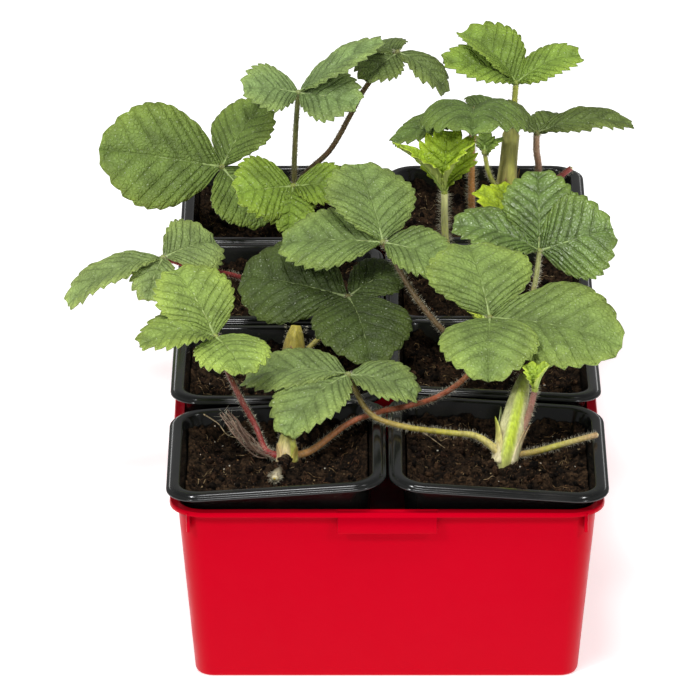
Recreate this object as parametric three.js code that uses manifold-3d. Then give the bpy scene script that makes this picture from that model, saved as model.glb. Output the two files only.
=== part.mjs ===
// A carrying tray of eight potted strawberry plants, in millimetres, +Z up.
// The origin is the middle of the tray's underside, and -Y is the side with the label plate.
import * as THREE from 'three';
import { mergeVertices } from 'three/addons/utils/BufferGeometryUtils.js';
import Module from 'manifold-3d';

const wasm = await Module();
wasm.setup();

// Tray
const TRAY_HEIGHT = 80;
const TRAY_FOOT = { halfX: 79.2, halfY: 168.6, corner: 8 };
const TRAY_TOP = { halfX: 85.7, halfY: 178.2, corner: 10.5 };
const TRAY_WALL = 1.1;
const TRAY_FLOOR = 1.5;
const FLANGE_REACH = 3.4;
const FLANGE_CORNER = 15;
const FLANGE_THICKNESS = 1.6;
const LABEL_PLATE = { width: 40.5, drop: 7.6, thickness: 1.2 };
const LABEL_RECESS = { width: 41, reach: 3.6, depth: 0.5, fromEdge: 0.6 };
const LUG = { width: 1.6, height: 8, fromSide: 4.5, fromEdge: 0.4 };
const OVERLAP = 0.5;

// Pots
const COLUMN_X = 45.5;
const ROW_Y = { front: -138, second: -46, third: 46, back: 136.9 };
const POT_HEIGHT = 87;
const POT_WALL = 1;
const LIP_HALF = 45.2;
const LIP_CORNER = 14;
const LIP_DROP = 2.6;
const LIP_EDGE = 1;
const LIP_FLAT = { inset: 3.4, corner: 2.4 };
const BODY_HALF = 39.3;
const BODY_CORNER = 9;
const FOOT_HALF = 28.5;
const FOOT_CORNER = 7;
const DRAIN_HOLE_RADIUS = 6;
const CORNER_STEPS = 3;
const SEAT_GAP = 0.3;

// Soil
const SOIL_BELOW_RIM = 9;
const SOIL_RINGS = 4;
const SOIL_RELIEF = 0.5;
const MOUND = { height: 1.6, radius: 16 };
const ROOT_DEPTH = 12;

// Plants
const STALK_SIDES = 6;
const STALK_STEP = 9;
const CROWN_SIDES = 8;
const ROOT_TAPER = 0.7;
const JOINT_RADIUS = 1.8;
const STALK_GAP = 0.7;

// Crown thickness up its height, each as a share, and the usual share at its top
const CROWN_PROFILE = [[0, 0.9], [0.2, 1], [0.65, 0.8]];
const CROWN_TOP = 0.35;

// Leaf blades
const BLADE_THICKNESS = 0.85;
const BLADE_FOLD = 0.16;
const BLADE_DROOP = 0.25;
const BLADE_FOOT = 0.1;
const BLADE_WIDEST = 1.15;
const BLADE_FULLNESS = 0.65;
const TEETH = { tiny: 3, few: 5, many: 7, smallFrom: 12, wideFrom: 28 };
const TOOTH = { reach: 1.5, forward: 1.05, from: 0.25 };
const RIB_SPACING = 1.2;

const looks = {
  tray: { color: 0xd70023, roughness: 0.38, metalness: 0 },
  pot: { color: 0x1d2022, roughness: 0.3, metalness: 0 },
  soil: { color: 0x2b1f1a, roughness: 0.95, metalness: 0 },
  stem: { color: 0x8f9a4a, roughness: 0.6, metalness: 0 },
  leaf: { color: 0x5f8a45, roughness: 0.55, metalness: 0 },
  young: { color: 0x9cc04a, roughness: 0.5, metalness: 0 },
};

// Each pot's place, and how far it leans sideways (roll) and back (pitch), in degrees.
const pots = {
  front_left: { x: -COLUMN_X, y: ROW_Y.front, roll: -4, pitch: 0.5 },
  front_right: { x: 45.8, y: ROW_Y.front, roll: 4, pitch: 2 },
  second_left: { x: -COLUMN_X, y: ROW_Y.second, roll: 0, pitch: -2 },
  second_right: { x: COLUMN_X, y: ROW_Y.second, roll: 3, pitch: -3.2 },
  third_left: { x: -COLUMN_X, y: ROW_Y.third, roll: 0, pitch: 0 },
  third_right: { x: COLUMN_X, y: ROW_Y.third, roll: 0, pitch: 0 },
  back_left: { x: -COLUMN_X, y: ROW_Y.back, roll: 0, pitch: 1.1 },
  back_right: { x: COLUMN_X, y: ROW_Y.back, roll: 0, pitch: 1.1 },
};

// Each plant's crown stands in its pot at foot and leans to tip. A stalk runs along its points,
// and on to the joint of the leaf that it carries. A blade is [length, heading in plan, rise,
// width, roll, arch, fold, droop] in millimetres and degrees, with the arch as a share of the
// length, the fold as the slope of the two halves up from the midrib, and the droop of their edges.
const plants = {
  front_left: {
    crown: { foot: [-41, -138.5], tip: [-41, -135, 97], radius: 4.4 },
    stalks: [
      { leaf: 'rising', radius: 1.4, path: [[-42, -138, 86], [-49, -136, 87], [-54, -126, 94],
        [-61, -121, 106], [-67, -114, 117]] },
      { leaf: 'reaching', radius: 1.4, path: [[-41, -137, 86], [-33, -135, 86.5], [-15, -121, 94],
        [-3, -117.5, 97.2], [8, -114, 98.2], [22, -105, 99], [35, -98, 107]] },
      { radius: 2, path: [[-41, -139, 87], [-43, -147, 86.8], [-46, -159, 85.6]] },
      { radius: 1.5, path: [[-42, -138, 86.5], [-52, -136, 87], [-61, -133, 95], [-68, -128, 102]] },
    ],
    leaves: {
      rising: {
        joint: [-71, -108, 127],
        blades: [[36, 126, 35, 34, -5, 0.08], [33, 201, 2, 26, -5, 0.16], [27, 298, -15, 32, 0, 0.1]],
      },
      reaching: {
        joint: [43, -95, 130],
        blades: [[40, 104, 29, 44, 0, 0.08], [42, 268, -15, 40, 0, 0.12], [57, 344, -6, 46, 25, 0.08]],
      },
    },
  },
  front_right: {
    crown: { foot: [48, -140], tip: [57, -122, 116], radius: 6 },
    stalks: [
      { leaf: 'low', radius: 1.4, path: [[47, -140, 87.5], [42.5, -138, 91.5], [36.5, -136, 94.5],
        [26, -134, 95], [5, -132, 97.4], [-7, -124, 99.5]] },
      { leaf: 'bud', radius: 1.6, path: [[52, -136, 89], [58, -133, 101]] },
      { radius: 1.4, path: [[51, -139, 87], [60, -137, 87.5], [73, -133, 89.5], [87, -128, 91.5]] },
    ],
    leaves: {
      low: {
        joint: [-16, -113, 112],
        blades: [[46, 163, -10, 30, -10, 0.1], [41, 227, -21, 32, 0, 0.12], [30, 350, -14, 26, 10, 0.12]],
      },
      bud: {
        look: 'young', joint: [61, -132, 113.5],
        blades: [[12, 20, 60, 8, 0, 0.1, 0.7], [11, 140, 62, 8, 0, 0.1, 0.7]],
      },
    },
  },
  second_left: {
    crown: { foot: [-40, -49], tip: [-38, -41, 104], radius: 5.4 },
    stalks: [
      { leaf: 'dark', radius: 1.4, path: [[-39.5, -47, 85], [-34, -39, 91], [-22, -29, 100]] },
    ],
    leaves: {
      dark: {
        joint: [-16, -24, 110],
        blades: [[50, 157, 2, 42, -38, 0.06], [46, 283, -17, 42, 0, 0.12], [28, 30, 15, 24, 15, 0.1]],
      },
    },
  },
  second_right: {
    crown: { foot: [46, -49], tip: [45, -46, 99], radius: 4.6 },
    stalks: [
      { leaf: 'tall', radius: 1.4, path: [[45.5, -48, 87.5], [36, -45, 95],
        [25, -43, 102], [14, -36, 113], [5, -26, 125]] },
      { leaf: 'side', radius: 1.4, path: [[47, -47, 87.5], [57, -34, 99], [64, -14, 112]] },
      { leaf: 'bud', radius: 1.4, path: [[44, -46, 90], [42, -40, 96]] },
    ],
    leaves: {
      tall: {
        joint: [-1, -19, 133],
        blades: [[45, 167, -6, 34, -25, 0.06], [43, 107, 31, 38, 5, 0.06], [31, 344, -15, 28, 20, 0.1]],
      },
      side: {
        joint: [66, -4, 123],
        blades: [[39, 180, 18, 30, -15, 0.1], [38, 90, 42, 30, 0, 0.08], [33, 8, 15, 38, 50, 0.06]],
      },
      bud: {
        look: 'young', joint: [42, -36, 100],
        blades: [[11, 180, 53, 7, 0, 0.1], [11, 99, 51, 7, 0, 0.1]],
      },
    },
  },
  third_left: {
    crown: { foot: [-42, 47], tip: [-43, 48, 94], radius: 4.6 },
    stalks: [
      { leaf: 'outer', radius: 1.4, path: [[-43, 46, 84.5], [-54, 43, 88], [-65, 38, 94], [-80, 30, 101],
        [-91, 23, 107]] },
      { leaf: 'inner', radius: 1.4, path: [[-42, 48, 86], [-43, 54, 100], [-40, 62, 116]] },
    ],
    leaves: {
      outer: {
        joint: [-96, 20, 110],
        blades: [[46, 196, -22, 22, -5, 0.14], [29, 38, 0, 28, 30, 0.12], [24, 253, -26, 18, 0, 0.1]],
      },
      inner: {
        look: 'young', joint: [-40, 66, 125],
        blades: [[26, 200, 0, 32, -35, 0.06], [24, 350, 0, 26, 20, 0.1], [24, 264, -32, 20, 0, 0.1]],
      },
    },
  },
  third_right: {
    crown: { foot: [44, 48], tip: [44, 50, 100], radius: 5 },
    stalks: [
      { leaf: 'fan', radius: 1.9, path: [[43, 48, 84.5], [32, 48, 90], [27, 48, 104], [26, 48, 119]] },
      { leaf: 'high', radius: 1.4, path: [[43, 50, 88], [39, 57, 105], [38, 66, 128], [38.5, 73, 148]] },
      { leaf: 'bright', radius: 1.4, path: [[45, 46, 88], [50, 38, 98], [57, 28, 109]] },
    ],
    leaves: {
      fan: {
        look: 'young', joint: [26, 48, 129],
        blades: [
          [32, 196, 49, 16, 0, 0.08, 0.8], [27, 79, 74, 24, 0, 0.08, 0.25], [27, 0, 64, 18, 0, 0.08, 0.8],
        ],
      },
      high: {
        joint: [39, 76, 157],
        blades: [
          [34, 268, 4, 42, 0, 0.1, 0.75, 1.5], [39, 199, -16, 20, 0, 0.05], [27, 55, -13, 24, 0, 0.1],
        ],
      },
      bright: {
        look: 'young', joint: [59, 26, 117],
        blades: [[28, 152, 40, 18, 0, 0.1], [27, 119, 41, 16, 0, 0.1]],
      },
    },
  },
  back_left: {
    crown: { foot: [-38, 138], tip: [-39, 136, 96], radius: 5 },
    stalks: [
      { leaf: 'top', radius: 1.4, path: [[-39, 136, 88], [-40, 128, 106], [-39, 121, 134]] },
      { leaf: 'arched', radius: 1.4, path: [[-38, 137, 88], [-37, 135, 101], [-24, 133, 116],
        [-15, 132, 133], [-9, 132, 145], [-2, 133, 154]] },
      { leaf: 'broad', radius: 1.4, path: [[-40, 136, 85], [-51, 131, 88], [-64, 120, 103]] },
    ],
    leaves: {
      top: {
        joint: [-38, 118, 149],
        blades: [[25, 194, 11, 28, -25, 0.06], [44, 12, 30, 24, 0, 0.04], [29, 336, -2, 28, 25, 0.06]],
      },
      arched: {
        joint: [6, 134, 162],
        blades: [[20, 220, -24, 26, 0, 0.06], [28, 332, -33, 18, 0, 0.16], [22, 126, -10, 24, 0, 0.1]],
      },
      broad: {
        joint: [-72, 112, 116],
        blades: [[56, 188, 12, 48, -55, 0.03], [36, 42, 45, 34, 0, 0.06], [33, 318, -39, 36, 10, 0.06]],
      },
    },
  },
  back_right: {
    crown: { foot: [54, 140], tip: [57, 139, 121], radius: 4.6, top: 0.8 },
    stalks: [
      { leaf: 'crest', radius: 1.6, path: [[56, 140, 108], [58, 139, 125], [58.5, 138, 139]] },
      { leaf: 'outer', radius: 1.7, path: [[55, 140, 88], [63, 138, 95], [69, 130, 107], [68, 124, 120]] },
      { leaf: 'small', radius: 1.2, path: [[54, 139, 90], [47, 130, 106]] },
      { radius: 1.4, path: [[55, 140, 88], [66, 138, 95], [76, 136, 100], [84, 136, 106]] },
    ],
    leaves: {
      crest: {
        joint: [59, 138, 146],
        blades: [
          [36, 194, 21, 26, -15, 0.12], [34, 145, 32, 32, 0, 0.1, 0.5], [31, 8, 23, 22, 15, 0.12],
        ],
      },
      outer: {
        joint: [68, 122, 128],
        blades: [[22, 173, 30, 22, -5, 0.12], [20, 53, 7, 18, 0, 0.12], [43, 5, 4, 22, 5, 0.12]],
      },
      small: {
        look: 'young', joint: [45, 127, 117],
        blades: [[10, 0, 43, 8, 0, 0.1], [9, 85, 70, 8, 0, 0.1]],
      },
    },
  },
};

const degrees = THREE.MathUtils.degToRad;

// Turns a closed geometry into a solid for joining and cutting.
function solid(geometry, matrix) {
  const bare = geometry.clone();
  if (matrix) bare.applyMatrix4(matrix);
  bare.deleteAttribute('normal');
  bare.deleteAttribute('uv');
  const merged = mergeVertices(bare, 1e-4);
  return new wasm.Manifold(new wasm.Mesh({
    numProp: 3,
    vertProperties: new Float32Array(merged.attributes.position.array),
    triVerts: new Uint32Array(merged.index.array),
  }));
}

// Turns a solid back into a geometry.
function geometryOf(body) {
  const mesh = body.getMesh();
  const geometry = new THREE.BufferGeometry();
  geometry.setAttribute('position', new THREE.BufferAttribute(mesh.vertProperties, 3));
  geometry.setIndex(new THREE.BufferAttribute(mesh.triVerts, 1));
  geometry.computeVertexNormals();
  return geometry;
}

function addMesh(group, name, geometry, look) {
  const mesh = new THREE.Mesh(geometry, new THREE.MeshStandardMaterial(looks[look]));
  mesh.name = name;
  group.add(mesh);
  return mesh;
}

function indexedGeometry(points, triangles) {
  const geometry = new THREE.BufferGeometry();
  geometry.setAttribute('position', new THREE.Float32BufferAttribute(points.flat(), 3));
  geometry.setIndex(triangles);
  return geometry;
}

// Points of a rounded rectangle at height z, anticlockwise from the +X side.
function roundedRing({ halfX, halfY = halfX, corner, z }) {
  const ring = [];
  for (let quarter = 0; quarter < 4; quarter += 1) {
    const signX = quarter === 0 || quarter === 3 ? 1 : -1;
    const signY = quarter < 2 ? 1 : -1;
    for (let step = 0; step <= CORNER_STEPS; step += 1) {
      const angle = (quarter + step / CORNER_STEPS) * Math.PI / 2;
      ring.push([
        signX * (halfX - corner) + corner * Math.cos(angle),
        signY * (halfY - corner) + corner * Math.sin(angle),
        z,
      ]);
    }
  }
  return ring;
}

// Skins rings of equal count in order and closes the first and last with a fan.
function skinned(rings, capCentres) {
  const count = rings[0].length;
  const points = rings.flat();
  const triangles = [];
  for (let r = 0; r + 1 < rings.length; r += 1) {
    for (let i = 0; i < count; i += 1) {
      const j = (i + 1) % count;
      const [a, b, c, d] = [r * count + i, r * count + j, (r + 1) * count + j, (r + 1) * count + i];
      triangles.push(a, b, c, a, c, d);
    }
  }
  const last = (rings.length - 1) * count;
  const [first, final] = [points.length, points.length + 1];
  points.push(capCentres[0], capCentres[1]);
  for (let i = 0; i < count; i += 1) {
    const j = (i + 1) % count;
    triangles.push(first, j, i, final, last + i, last + j);
  }
  return indexedGeometry(points, triangles);
}

function trayGeometry() {
  const flangeZ = TRAY_HEIGHT - FLANGE_THICKNESS;
  const wider = (base, by, z) => ({
    halfX: base.halfX + by, halfY: base.halfY + by, corner: base.corner + by, z,
  });
  const rings = [
    wider(TRAY_FOOT, -1, 0),
    wider(TRAY_FOOT, 0, 1),
    wider(TRAY_TOP, 0, flangeZ),
    { ...wider(TRAY_TOP, FLANGE_REACH, flangeZ), corner: FLANGE_CORNER },
    { ...wider(TRAY_TOP, FLANGE_REACH, TRAY_HEIGHT), corner: FLANGE_CORNER },
    wider(TRAY_TOP, -TRAY_WALL, TRAY_HEIGHT),
    wider(TRAY_FOOT, -TRAY_WALL, TRAY_FLOOR),
  ].map(roundedRing);
  let body = solid(skinned(rings, [[0, 0, 0], [0, 0, TRAY_FLOOR]]));
  const frontY = TRAY_TOP.halfY + FLANGE_REACH;
  const reach = FLANGE_REACH + TRAY_WALL / 2;
  for (const side of [-1, 1]) {
    // Label plate that hangs from the flange, and the shallow recess above it
    const plateHeight = LABEL_PLATE.drop + OVERLAP;
    const plate = new THREE.BoxGeometry(LABEL_PLATE.width, LABEL_PLATE.thickness, plateHeight);
    const plateY = frontY - LABEL_PLATE.thickness / 2;
    plate.translate(0, side * plateY, flangeZ + OVERLAP - plateHeight / 2);
    body = body.add(solid(plate));
    const recess = new THREE.BoxGeometry(LABEL_RECESS.width, LABEL_RECESS.reach, 2 * LABEL_RECESS.depth);
    const recessY = frontY - LABEL_RECESS.fromEdge - LABEL_RECESS.reach / 2;
    recess.translate(0, side * recessY, TRAY_HEIGHT);
    body = body.subtract(solid(recess));
    // Stacking lugs under the flange near the corners
    for (const hand of [-1, 1]) {
      const lugHeight = LUG.height + OVERLAP;
      const lug = new THREE.BoxGeometry(LUG.width, reach, lugHeight);
      const lugX = TRAY_TOP.halfX - LUG.fromSide;
      const lugY = frontY - reach / 2 - LUG.fromEdge;
      lug.translate(hand * lugX, side * lugY, flangeZ + OVERLAP - lugHeight / 2);
      body = body.add(solid(lug));
    }
  }
  return geometryOf(body);
}

// Outline of the pot's outside at a height above its foot.
function potSection(height, inset = 0) {
  const share = height / (POT_HEIGHT - LIP_DROP);
  return {
    halfX: THREE.MathUtils.lerp(FOOT_HALF, BODY_HALF, share) - inset,
    corner: THREE.MathUtils.lerp(FOOT_CORNER, BODY_CORNER, share) - inset * 0.5,
    z: height,
  };
}

// Pot with its foot at z = 0
function potGeometry() {
  const lipUnder = POT_HEIGHT - LIP_DROP;
  const rings = [
    potSection(0),
    potSection(lipUnder),
    { halfX: LIP_HALF, corner: LIP_CORNER, z: lipUnder },
    { halfX: LIP_HALF, corner: LIP_CORNER, z: lipUnder + LIP_EDGE },
    { halfX: LIP_HALF - LIP_FLAT.inset, corner: LIP_CORNER - LIP_FLAT.corner, z: POT_HEIGHT },
    potSection(POT_HEIGHT - 0.5, 0.6),
    potSection(POT_WALL, POT_WALL),
  ].map(roundedRing);
  const body = solid(skinned(rings, [[0, 0, 0], [0, 0, POT_WALL]]));
  const hole = new THREE.CylinderGeometry(DRAIN_HOLE_RADIUS, DRAIN_HOLE_RADIUS, 4, 8);
  hole.rotateX(Math.PI / 2);
  return geometryOf(body.subtract(solid(hole)));
}

// Places a pot so that its lowest edge stands just above the tray's floor.
function potMatrix({ x, y, roll, pitch }) {
  const turn = new THREE.Euler(degrees(pitch), degrees(roll), 0);
  const lift = FOOT_HALF * (Math.abs(Math.sin(degrees(roll))) + Math.abs(Math.sin(degrees(pitch))));
  const rim = new THREE.Vector3(0, 0, POT_HEIGHT).applyEuler(turn);
  const place = new THREE.Matrix4().makeRotationFromEuler(turn);
  return place.setPosition(x - rim.x, y - rim.y, TRAY_FLOOR + SEAT_GAP + lift);
}

// Soil in the pot's own frame, with a crumbly surface that rises round the crown
function soilGeometry(seed, crownX, crownY) {
  const top = POT_HEIGHT - SOIL_BELOW_RIM;
  const inset = POT_WALL + SEAT_GAP;
  const surface = potSection(top, inset);
  const rings = [roundedRing(potSection(POT_WALL + SEAT_GAP, inset))];
  const relief = (x, y) => {
    const distance = Math.hypot(x - crownX, y - crownY) / MOUND.radius;
    const lumps = Math.sin(x * 0.31 + seed) * Math.cos(y * 0.27 - 2 * seed);
    const crumbs = Math.sin(x * 0.53 - y * 0.47 + seed);
    return SOIL_RELIEF * (lumps + crumbs) + MOUND.height * Math.exp(-distance * distance);
  };
  for (let k = 0; k < SOIL_RINGS; k += 1) {
    const share = 1 - k / SOIL_RINGS;
    const ring = roundedRing({ ...surface, halfX: surface.halfX * share, corner: surface.corner * share });
    rings.push(ring.map(([x, y, z]) => [x, y, z + relief(x, y)]));
  }
  return skinned(rings, [[0, 0, POT_WALL + SEAT_GAP], [0, 0, top + relief(0, 0)]]);
}

// A round stalk along a smooth path
function stalkSolid(points, radius) {
  const curve = new THREE.CatmullRomCurve3(points.map((p) => new THREE.Vector3(...p)));
  const section = new THREE.Shape();
  for (let side = 0; side < STALK_SIDES; side += 1) {
    const angle = side * 2 * Math.PI / STALK_SIDES;
    const [x, y] = [radius * Math.cos(angle), radius * Math.sin(angle)];
    if (side === 0) section.moveTo(x, y);
    else section.lineTo(x, y);
  }
  section.closePath();
  const steps = Math.max(2, Math.round(curve.getLength() / STALK_STEP));
  return solid(new THREE.ExtrudeGeometry(section, { steps, extrudePath: curve }));
}

// The crown and its leaf stalks, rooted in the soil
function crownSolid(plant, soilTop) {
  const { foot, tip, radius, top = CROWN_TOP } = plant.crown;
  const base = [foot[0], foot[1], soilTop - ROOT_DEPTH];
  const lean = [(tip[0] - foot[0]) / (tip[2] - soilTop), (tip[1] - foot[1]) / (tip[2] - soilTop)];
  const along = (z, scale) => {
    const rise = Math.max(0, z - soilTop);
    const ring = [];
    for (let i = 0; i < CROWN_SIDES; i += 1) {
      const angle = i * 2 * Math.PI / CROWN_SIDES;
      ring.push([
        foot[0] + lean[0] * rise + radius * scale * Math.cos(angle),
        foot[1] + lean[1] * rise + radius * scale * Math.sin(angle),
        z,
      ]);
    }
    return ring;
  };
  const rings = [
    along(base[2], ROOT_TAPER),
    ...[...CROWN_PROFILE, [1, top]].map(
      ([share, scale]) => along(THREE.MathUtils.lerp(soilTop, tip[2], share), Math.max(scale, top)),
    ),
  ];
  let body = solid(skinned(rings, [base, [tip[0], tip[1], tip[2] + 1]]));
  for (const { leaf, radius: stalkRadius, path } of plant.stalks) {
    const points = path.map((p) => [...p]);
    if (leaf) {
      // The stalk stops just short of the joint where the leaf's blades meet.
      const joint = new THREE.Vector3(...plant.leaves[leaf].joint);
      const back = new THREE.Vector3(...path[path.length - 1]).sub(joint).normalize();
      points.push(joint.addScaledVector(back, JOINT_RADIUS + STALK_GAP).toArray());
    }
    body = body.add(stalkSolid(points, stalkRadius));
  }
  return body;
}

// A function that places a point of a blade: so far along its midrib, so far to a side, on one face
function bladePlacer(joint, blade) {
  const [length, heading, rise, width, roll, arch, fold = BLADE_FOLD, droop = BLADE_DROOP] = blade;
  const ahead = new THREE.Vector3(
    Math.cos(degrees(rise)) * Math.cos(degrees(heading)),
    Math.cos(degrees(rise)) * Math.sin(degrees(heading)),
    Math.sin(degrees(rise)),
  );
  const right = new THREE.Vector3().crossVectors(ahead, new THREE.Vector3(0, 0, 1)).normalize();
  right.applyAxisAngle(ahead, degrees(roll));
  const up = new THREE.Vector3().crossVectors(right, ahead);
  return (along, side, face) => {
    const t = THREE.MathUtils.clamp(along / length, 0, 1);
    const arched = 4 * t * (1 - t) * arch * length;
    const folded = fold * Math.abs(side) - droop * side * side / width;
    return new THREE.Vector3(...joint)
      .addScaledVector(ahead, along)
      .addScaledVector(right, side)
      .addScaledVector(up, arched + folded + face * BLADE_THICKNESS / 2)
      .toArray();
  };
}

function toothCount(width) {
  if (width < TEETH.smallFrom) return TEETH.tiny;
  if (width < TEETH.wideFrom) return TEETH.few;
  return TEETH.many;
}

// Edge points from foot to tip as [along, side]: notches at even places and tooth tips at odd ones
function bladeEdge(length, width, teeth) {
  const edge = [];
  for (let k = 0; k <= 2 * teeth; k += 1) {
    const t = k / (2 * teeth);
    const bulge = Math.max(0, Math.sin(Math.PI * t ** BLADE_WIDEST)) ** BLADE_FULLNESS;
    const halfWidth = 0.5 * width * bulge * Math.sqrt(Math.min(1, t / BLADE_FOOT));
    const isTooth = k % 2 === 1 && t > TOOTH.from;
    edge.push(isTooth
      ? [t * length + TOOTH.forward, halfWidth + TOOTH.reach]
      : [t * length, halfWidth]);
  }
  return edge;
}

// One toothed blade: strips run from the midrib to the teeth, alike on both faces.
function bladeSolid(joint, blade) {
  const [length, , , width] = blade;
  const place = bladePlacer(joint, blade);
  const teeth = toothCount(width);
  const edge = bladeEdge(length, width, teeth);
  const last = 2 * teeth;
  const points = [];
  const triangles = [];
  const start = { 1: {}, [-1]: {} };
  for (const face of [1, -1]) {
    start[face].rib = points.length;
    for (let k = 0; k <= teeth; k += 1) {
      points.push(place(length * (k / teeth) ** RIB_SPACING, 0, face));
    }
    for (const side of [1, -1]) {
      start[face][side] = points.length;
      for (let k = 1; k < last; k += 1) points.push(place(edge[k][0], side * edge[k][1], face));
    }
  }
  const edgeIndex = (face, side, k) => {
    if (k === 0) return start[face].rib;
    if (k === last) return start[face].rib + teeth;
    return start[face][side] + k - 1;
  };
  const push = (a, b, c, flip) => triangles.push(a, ...(flip ? [c, b] : [b, c]));
  for (const face of [1, -1]) {
    for (const side of [1, -1]) {
      const flip = face * side < 0;
      for (let k = 0; k < teeth; k += 1) {
        const [m0, m1] = [start[face].rib + k, start[face].rib + k + 1];
        const [e0, e1, e2] = [0, 1, 2].map((step) => edgeIndex(face, side, 2 * k + step));
        if (k > 0) push(m0, e0, e1, flip);
        push(m0, e1, m1, flip);
        if (k < teeth - 1) push(m1, e1, e2, flip);
      }
    }
  }
  // The narrow edge between the faces
  for (const side of [1, -1]) {
    for (let k = 0; k < last; k += 1) {
      const [a, b] = [edgeIndex(1, side, k), edgeIndex(1, side, k + 1)];
      const [c, d] = [edgeIndex(-1, side, k + 1), edgeIndex(-1, side, k)];
      push(a, d, c, side < 0);
      push(a, c, b, side < 0);
    }
  }
  return solid(indexedGeometry(points, triangles));
}

function leafSolid({ joint, blades }) {
  const knot = new THREE.OctahedronGeometry(JOINT_RADIUS, 1);
  knot.translate(...joint);
  return blades.reduce((body, blade) => body.add(bladeSolid(joint, blade)), solid(knot));
}

const model = new THREE.Group();
addMesh(model, 'tray', trayGeometry(), 'tray');
const potShape = potGeometry();
Object.entries(pots).forEach(([place, pot], index) => {
  const matrix = potMatrix(pot);
  const potMesh = addMesh(model, `pot_${place}`, potShape, 'pot');
  potMesh.applyMatrix4(matrix);

  const plant = plants[place];
  const soilTop = matrix.elements[14] + POT_HEIGHT - SOIL_BELOW_RIM;
  const { foot, radius } = plant.crown;
  const crownInPot = new THREE.Vector3(...foot, soilTop).applyMatrix4(matrix.clone().invert());
  const holeRadius = radius + SEAT_GAP;
  const hole = new THREE.CylinderGeometry(holeRadius, holeRadius, 2 * ROOT_DEPTH, CROWN_SIDES);
  hole.rotateX(Math.PI / 2);
  hole.translate(foot[0], foot[1], soilTop - SEAT_GAP);
  const soil = solid(soilGeometry(index, crownInPot.x, crownInPot.y), matrix).subtract(solid(hole));
  addMesh(model, `soil_${place}`, geometryOf(soil), 'soil');

  addMesh(model, `crown_${place}`, geometryOf(crownSolid(plant, soilTop)), 'stem');
  for (const [leafName, leaf] of Object.entries(plant.leaves)) {
    addMesh(model, `leaf_${place}_${leafName}`, geometryOf(leafSolid(leaf)), leaf.look ?? 'leaf');
  }
});

export default model;
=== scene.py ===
import math
import random

import bmesh
import bpy
from mathutils import Matrix, Vector, noise


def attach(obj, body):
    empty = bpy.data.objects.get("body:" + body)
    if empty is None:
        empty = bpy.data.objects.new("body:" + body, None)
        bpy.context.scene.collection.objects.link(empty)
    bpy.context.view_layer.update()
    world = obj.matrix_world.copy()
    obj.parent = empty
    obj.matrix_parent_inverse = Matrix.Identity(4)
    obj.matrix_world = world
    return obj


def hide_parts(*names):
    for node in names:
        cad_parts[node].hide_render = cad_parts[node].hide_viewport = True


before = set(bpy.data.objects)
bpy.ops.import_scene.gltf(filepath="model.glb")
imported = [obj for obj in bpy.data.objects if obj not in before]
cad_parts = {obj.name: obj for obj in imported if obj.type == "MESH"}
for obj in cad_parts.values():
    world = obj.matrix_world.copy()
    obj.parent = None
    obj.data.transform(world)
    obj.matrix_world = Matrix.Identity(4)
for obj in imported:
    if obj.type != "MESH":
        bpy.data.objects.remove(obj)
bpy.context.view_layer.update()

# A red carrying tray of eight potted strawberry plants. Lengths are in millimetres until a piece
# is finished, when its mesh is turned to metres. +Z is up and -Y is the end that faces the camera.
MM = 0.001

# Camera
CAMERA_PLACE = (-0.016, -2.7456, 1.2416)
CAMERA_TILT = math.radians(67)
CAMERA_SENSOR = 36
CAMERA_LENS = 6910 / 696 * CAMERA_SENSOR

# Lamps as (name, place, size, power), in metres and watts
LAMPS = (
    ("left_lamp", (-1.3, -1.5, 1.6), 0.28, 22),
    ("right_lamp", (1.3, -1.5, 1.5), 0.28, 15),
    ("top_lamp", (-0.2, -0.8, 2.3), 0.7, 34),
)
LAMP_TARGET = (0, 0, 0.1)

# Tray
TRAY_HEIGHT = 80
TRAY_FOOT = {"half_x": 79.2, "half_y": 168.6, "corner": 8}
TRAY_TOP = {"half_x": 85.7, "half_y": 178.2, "corner": 10.5}
TRAY_WALL = 1.1
TRAY_FLOOR = 1.5
FLANGE_REACH = 3.4
FLANGE_CORNER = 15
FLANGE_THICKNESS = 1.6
FLANGE_SHADE = 5.5
LABEL_PLATE = {"width": 40.5, "drop": 7.6, "thickness": 1.2}
LABEL_RECESS = {"width": 41, "reach": 3.6, "depth": 0.5, "from_edge": 0.6}
LUG = {"width": 1.6, "height": 8, "from_side": 4.5}
CORNER_STEPS = 7

# Pots
POT_HEIGHT = 87
POT_WALL = 1
LIP_HALF = 45.2
LIP_CORNER = 14
LIP_DROP = 2.6
# The lip from its outer lower edge over two rounded beads to its inner edge: inset, drop from the top
LIP_PROFILE = (
    (0.6, 2.6), (0.25, 2.52), (0.06, 2.32), (0, 2.05), (0.04, 1.78), (0.2, 1.55), (0.45, 1.4), (0.8, 1.33),
    (1.1, 1.28), (1.35, 1.14), (1.5, 0.9), (1.68, 0.6), (1.95, 0.34), (2.35, 0.14), (2.9, 0.03), (3.5, 0),
    (4.7, 0.02), (5.2, 0.12), (5.6, 0.4), (5.85, 0.85), (6.0, 1.4),
)
BODY_HALF = 39.3
BODY_CORNER = 9
FOOT_HALF = 28.5
FOOT_CORNER = 7
DRAIN_HOLE_RADIUS = 6
SEAT_GAP = 0.3
# Each pot's place (x, y), and how far it leans sideways and back, in degrees
POTS = {
    "front_left": (-45.5, -138, -4, 0.5),
    "front_right": (45.8, -138, 4, 2),
    "second_left": (-45.5, -46, 0, -2),
    "second_right": (45.5, -46, 3, -3.2),
    "third_left": (-45.5, 46, 0, 0),
    "third_right": (45.5, 46, 0, 0),
    "back_left": (-45.5, 136.9, 0, 1.1),
    "back_right": (45.5, 136.9, 0, 1.1),
}

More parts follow.
